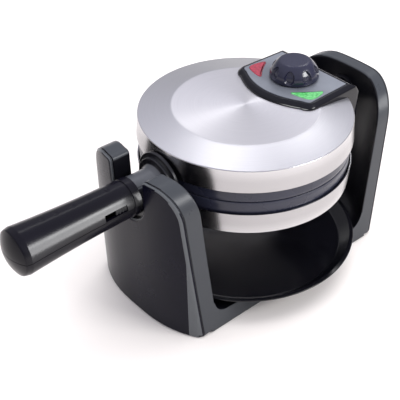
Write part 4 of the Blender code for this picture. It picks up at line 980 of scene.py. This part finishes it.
def box_line():
    """Right half of the box's plan, from its back corner round to the middle of its front."""
    wide, side_front = BOX_HALF + BOX_FLARE, BOX_FRONT + BOX_SAG
    end_x, end_y = wide - BOX_CORNER, side_front - BOX_CORNER * 0.15
    corner_y = side_front + BOX_CORNER
    shares = [step / 8 for step in range(9)]
    line = [(BOX_HALF + BOX_FLARE * share, BOX_BACK + (corner_y - BOX_BACK) * share)
            for share in shares]
    line += bend(Vector(line[-1]), Vector((wide, side_front + 0.0008)),
                 Vector((end_x, end_y)), 14)[1:]
    for step in range(1, 22):
        share = 1 - step / 21
        line.append((end_x * share, BOX_FRONT + (end_y - BOX_FRONT) * share**2))
    return line


def moved_line(outline, inset):
    """A plan moved in along the mitre of each corner; a negative inset grows it."""
    count = len(outline)
    twice = sum(a[0] * b[1] - b[0] * a[1] for a, b in zip(outline, outline[1:] + outline[:1]))
    way = inset if twice > 0 else -inset
    result = []
    for i, (x, y) in enumerate(outline):
        before, after = outline[i - 1], outline[(i + 1) % count]
        first = Vector((x - before[0], y - before[1])).normalized()
        second = Vector((after[0] - x, after[1] - y)).normalized()
        normal = Vector((-first.y, first.x)) + Vector((-second.y, second.x))
        normal /= 1 + first.dot(second)
        result.append((x + normal.x * way, y + normal.y * way))
    return result


def plan(inset):
    """The box's plan moved in by inset, its back corners eased as far as the inset allows."""
    half = box_line()
    outline = moved_line(half + [(-x, y) for x, y in half[-2::-1]], inset)
    ease = max(BOX_EASE - inset, 0.0002)
    corners = [(x, y, 0) for x, y in outline]
    corners[0], corners[-1] = (*outline[0], ease), (*outline[-1], ease)
    return rounded(corners, True, 3)


def back_wall(rise):
    """The box's back leans in above its bend."""
    share = (rise - BACK_BEND) / (BOX_RISE - BACK_BEND)
    return BOX_BACK + BACK_SLOPE * (1 - min(max(share, 0), 1))


def box_ring(inset, rise):
    ring = []
    start = BOX_BACK - BACK_REACH - inset
    for x, y in plan(inset):
        if y > start:
            y += (back_wall(rise) - BOX_BACK) * min((y - start) / BACK_REACH, 1)
        ring.append((x, y, AXIS + rise))
    return ring


rim = [(0.0, 0.0034), (0.0, 0.030), (0.0, BACK_BEND), (0.0, 0.0416), (0.0003, 0.0426),
       (0.0010, 0.0435), (0.0032, 0.0455), (0.0039, 0.0461), (0.0046, BOX_RISE),
       (0.0055, BOX_RISE), (0.0060, 0.0461), (PANEL_INSET, 0.0458), (PANEL_INSET, 0.0451)]
housing = add_object("lid_housing", *loft([box_ring(inset, rise) for inset, rise in rim]))
carve(housing, loft([box_ring(BOX_WALL, rise)
                     for rise in (-0.010, BACK_BEND, BOX_RISE - 0.0036)]))
under = shell_line(0.0003) + [(STEEL_RADIUS + 0.0017, -0.012), (0, -0.012)]
carve(housing, add_round("lid_below", under))
drill(housing, DIAL_SPOT, SHAFT_HOLE, AXIS + 0.030, AXIS + 0.060)

# Panel: a thin sheet, coated in satin grey, let into the box's rim with its edges eased. It
# has openings for the dial's shaft and for the two lamps.
PANEL_GREY = moulded("panel_grey", (0.200, 0.214, 0.245), 0.36, 0.12, 500.0, metal=0.35)
LENS_SHARES = (
    (0.467, 0.771), (0.627, 0.824), (0.844, 0.903), (0.980, 1.000), (1.009, 1.141),
    (0.992, 1.475), (0.940, 1.827), (0.901, 1.933), (0.861, 1.845), (0.752, 1.458),
    (0.627, 1.158), (0.490, 0.947), (0.450, 0.842),
)


def lens_line(side, grow):
    """A lamp's curved triangle, its corners eased with a closed smooth curve."""
    width, depth = BOX_HALF - PANEL_INSET, BOX_SAG + BOX_CORNER
    rough = [(side * x * width, BOX_FRONT + y * depth) for x, y in LENS_SHARES]
    fine = []
    count = len(rough)
    for i in range(count):
        a, b, c, d = (Vector(rough[(i + k) % count]) for k in (-1, 0, 1, 2))
        for t in (0, 0.25, 0.5, 0.75):
            fine.append((a * (1 - t) ** 3 + b * (3 * t**3 - 6 * t**2 + 4)
                         + c * (1 + 3 * t + 3 * t**2 - 3 * t**3) + d * t**3) / 6)
    for _ in range(14):
        fine = [(fine[i - 1] + 2 * fine[i] + fine[(i + 1) % len(fine)]) / 4
                for i in range(len(fine))]
    return moved_line(fine, -grow)


top = AXIS + BOX_RISE
sheet = [[(x, y, z) for x, y in plan(inset)]
         for inset, z in ((PANEL_INSET + 0.0003, top - 0.0009), (PANEL_INSET + 0.0003, top),
                          (PANEL_INSET + 0.0006, top + 0.0003))]
panel = add_object("lid_panel", *loft(sheet))
drill(panel, DIAL_SPOT, SHAFT_HOLE, AXIS + 0.030, AXIS + 0.060)
for side in (-1, 1):
    opening = prism(lens_line(side, 0.0003), top - 0.010, top + 0.010)
    carve(panel, opening)
    carve(housing, opening)
settle(panel, "lid", "grey_panel", PANEL_GREY, "control_panel")
settle(housing, "lid", "box_black", GLOSS_BLACK, "control_box")
add_shine("shine_box", (0.55, -1.10, 0.42), (0, 0.03, 0.18), (1.10, 0.50), 26, housing)

# Lamps: two curved three-cornered lenses beside the dial, red on the left and green on the
# right, each crowned a little and moulded with small facets inside; a bulb sits under each.
def lens_material(name, deep, bright):
    material, tree, shader = new_finish(name)
    place = add_node(tree, "ShaderNodeTexCoord").outputs["Object"]
    cells = add_node(tree, "ShaderNodeTexVoronoi", Vector=place, Scale=420.0).outputs["Distance"]
    tint = ramp(tree, cells, (0, bright), (1, deep))
    wire(tree, shader, Base_Color=tint, Emission_Color=tint, Emission_Strength=0.12,
         Roughness=0.12, Coat_Weight=0.5, Normal=relief(tree, cells, 0.2, 0.0002))
    return material


LAMP_GLASS = moulded("lamp_glass", (0.75, 0.50, 0.40), 0.10, 0.0)
for word, side, deep, bright in (("red", -1, (0.20, 0.008, 0.02), (0.44, 0.025, 0.06)),
                                 ("green", 1, (0.03, 0.26, 0.05), (0.16, 0.58, 0.20))):
    rows = [(0.0, -0.0018), (0.0, 0.0001), (0.0003, 0.0005), (0.0008, 0.0008), (0.0013, 0.0009)]
    rings = [[(x, y, top + rise) for x, y in lens_line(side, -inset)] for inset, rise in rows]
    lens = add_object(f"{word}_lamp", *loft(rings))
    settle(lens, "lid", f"{word}_lens", lens_material(f"{word}_lens", deep, bright),
           f"{word}_lens")
    refinish(LAMP_GLASS, f"{word}_bulb")

# Dial: a round black knob with eight oval scallops pressed into its sloping side and a flat
# eased top. Its skin follows a rule, so it is worked out ring by ring.
DIAL_BLACK = moulded("dial_black", (0.0120, 0.0125, 0.0330), 0.22, 0.2, specular=0.55)
low, high = local_box("temperature_dial")
DIAL_BASE, DIAL_HEIGHT, DIAL_RADIUS = low.z, high.z - low.z, high.x
dial_line = [(0.93, 0.0), (0.975, 0.015), (1.0, 0.06), (1.0, 0.20), (0.992, 0.30), (0.97, 0.42),
             (0.94, 0.50), (0.90, 0.58), (0.86, 0.66), (0.82, 0.73), (0.775, 0.80), (0.74, 0.85),
             (0.70, 0.90), (0.66, 0.945), (0.62, 0.975), (0.57, 0.993), (0.50, 1.0), (0.25, 1.0)]
SCALLOP_TURN, SCALLOP_PITCH = math.radians(-13.4), 2 * math.pi / 8
SCALLOP_WIDE, SCALLOP_MIDDLE, SCALLOP_HIGH, SCALLOP_DEPTH = 0.27, 0.46, 0.34, 0.0026


def dial_ring(radius_share, height_share):
    """One ring of the knob's skin, sunk where a scallop crosses it."""
    ring = []
    for k in range(320):
        angle = 2 * math.pi * k / 320
        off = (angle - SCALLOP_TURN + SCALLOP_PITCH / 2) % SCALLOP_PITCH - SCALLOP_PITCH / 2
        away = ((off / (SCALLOP_WIDE * SCALLOP_PITCH)) ** 2
                + ((height_share - SCALLOP_MIDDLE) / SCALLOP_HIGH) ** 2)
        sunk = SCALLOP_DEPTH * min(3.0 * max(1 - away, 0), 1) ** 0.7
        r = DIAL_RADIUS * radius_share - sunk
        ring.append((r * math.cos(angle), DIAL_SPOT[1] + r * math.sin(angle),
                     DIAL_BASE + DIAL_HEIGHT * height_share))
    return ring


fine_line = []
for start, end in zip(dial_line, dial_line[1:]):
    steps = max(1, round((end[1] - start[1]) / 0.018))
    fine_line += [(start[0] + (end[0] - start[0]) * k / steps,
                   start[1] + (end[1] - start[1]) * k / steps) for k in range(steps)]
fine_line.append(dial_line[-1])
dial = add_object("dial_knob", *loft([dial_ring(r, h) for r, h in fine_line]))
drill(dial, DIAL_SPOT, 0.0033, DIAL_BASE - 0.005, DIAL_BASE + DIAL_HEIGHT - 0.003)
settle(dial, "dial", "dial_black", DIAL_BLACK, "temperature_dial", sharp=50)

# Rear hinge: a die-cast bracket on the lower half carries the hollow shaft and two ears; the
# lid's leaf has two lugs between them, and a headed pin joins the four. The castings are
# coated in dark grey.
DIE_CAST = moulded("die_cast_coated", (0.040, 0.041, 0.044), 0.40, 0.6, 700.0)
for name, node, body, slot_name, material, width in (
        ("shaft_bracket", "rear_bracket", "lower_half", "die_cast", DIE_CAST, 0.0005),
        ("lid_leaf", "hinge_leaf", "lid", "die_cast", DIE_CAST, 0.0005),
        ("pivot_pin", "hinge_pin", "lower_half", "plated_steel", PLATED, 0.0003)):
    settle(eased_copy(name, node, width), body, slot_name, material, node)
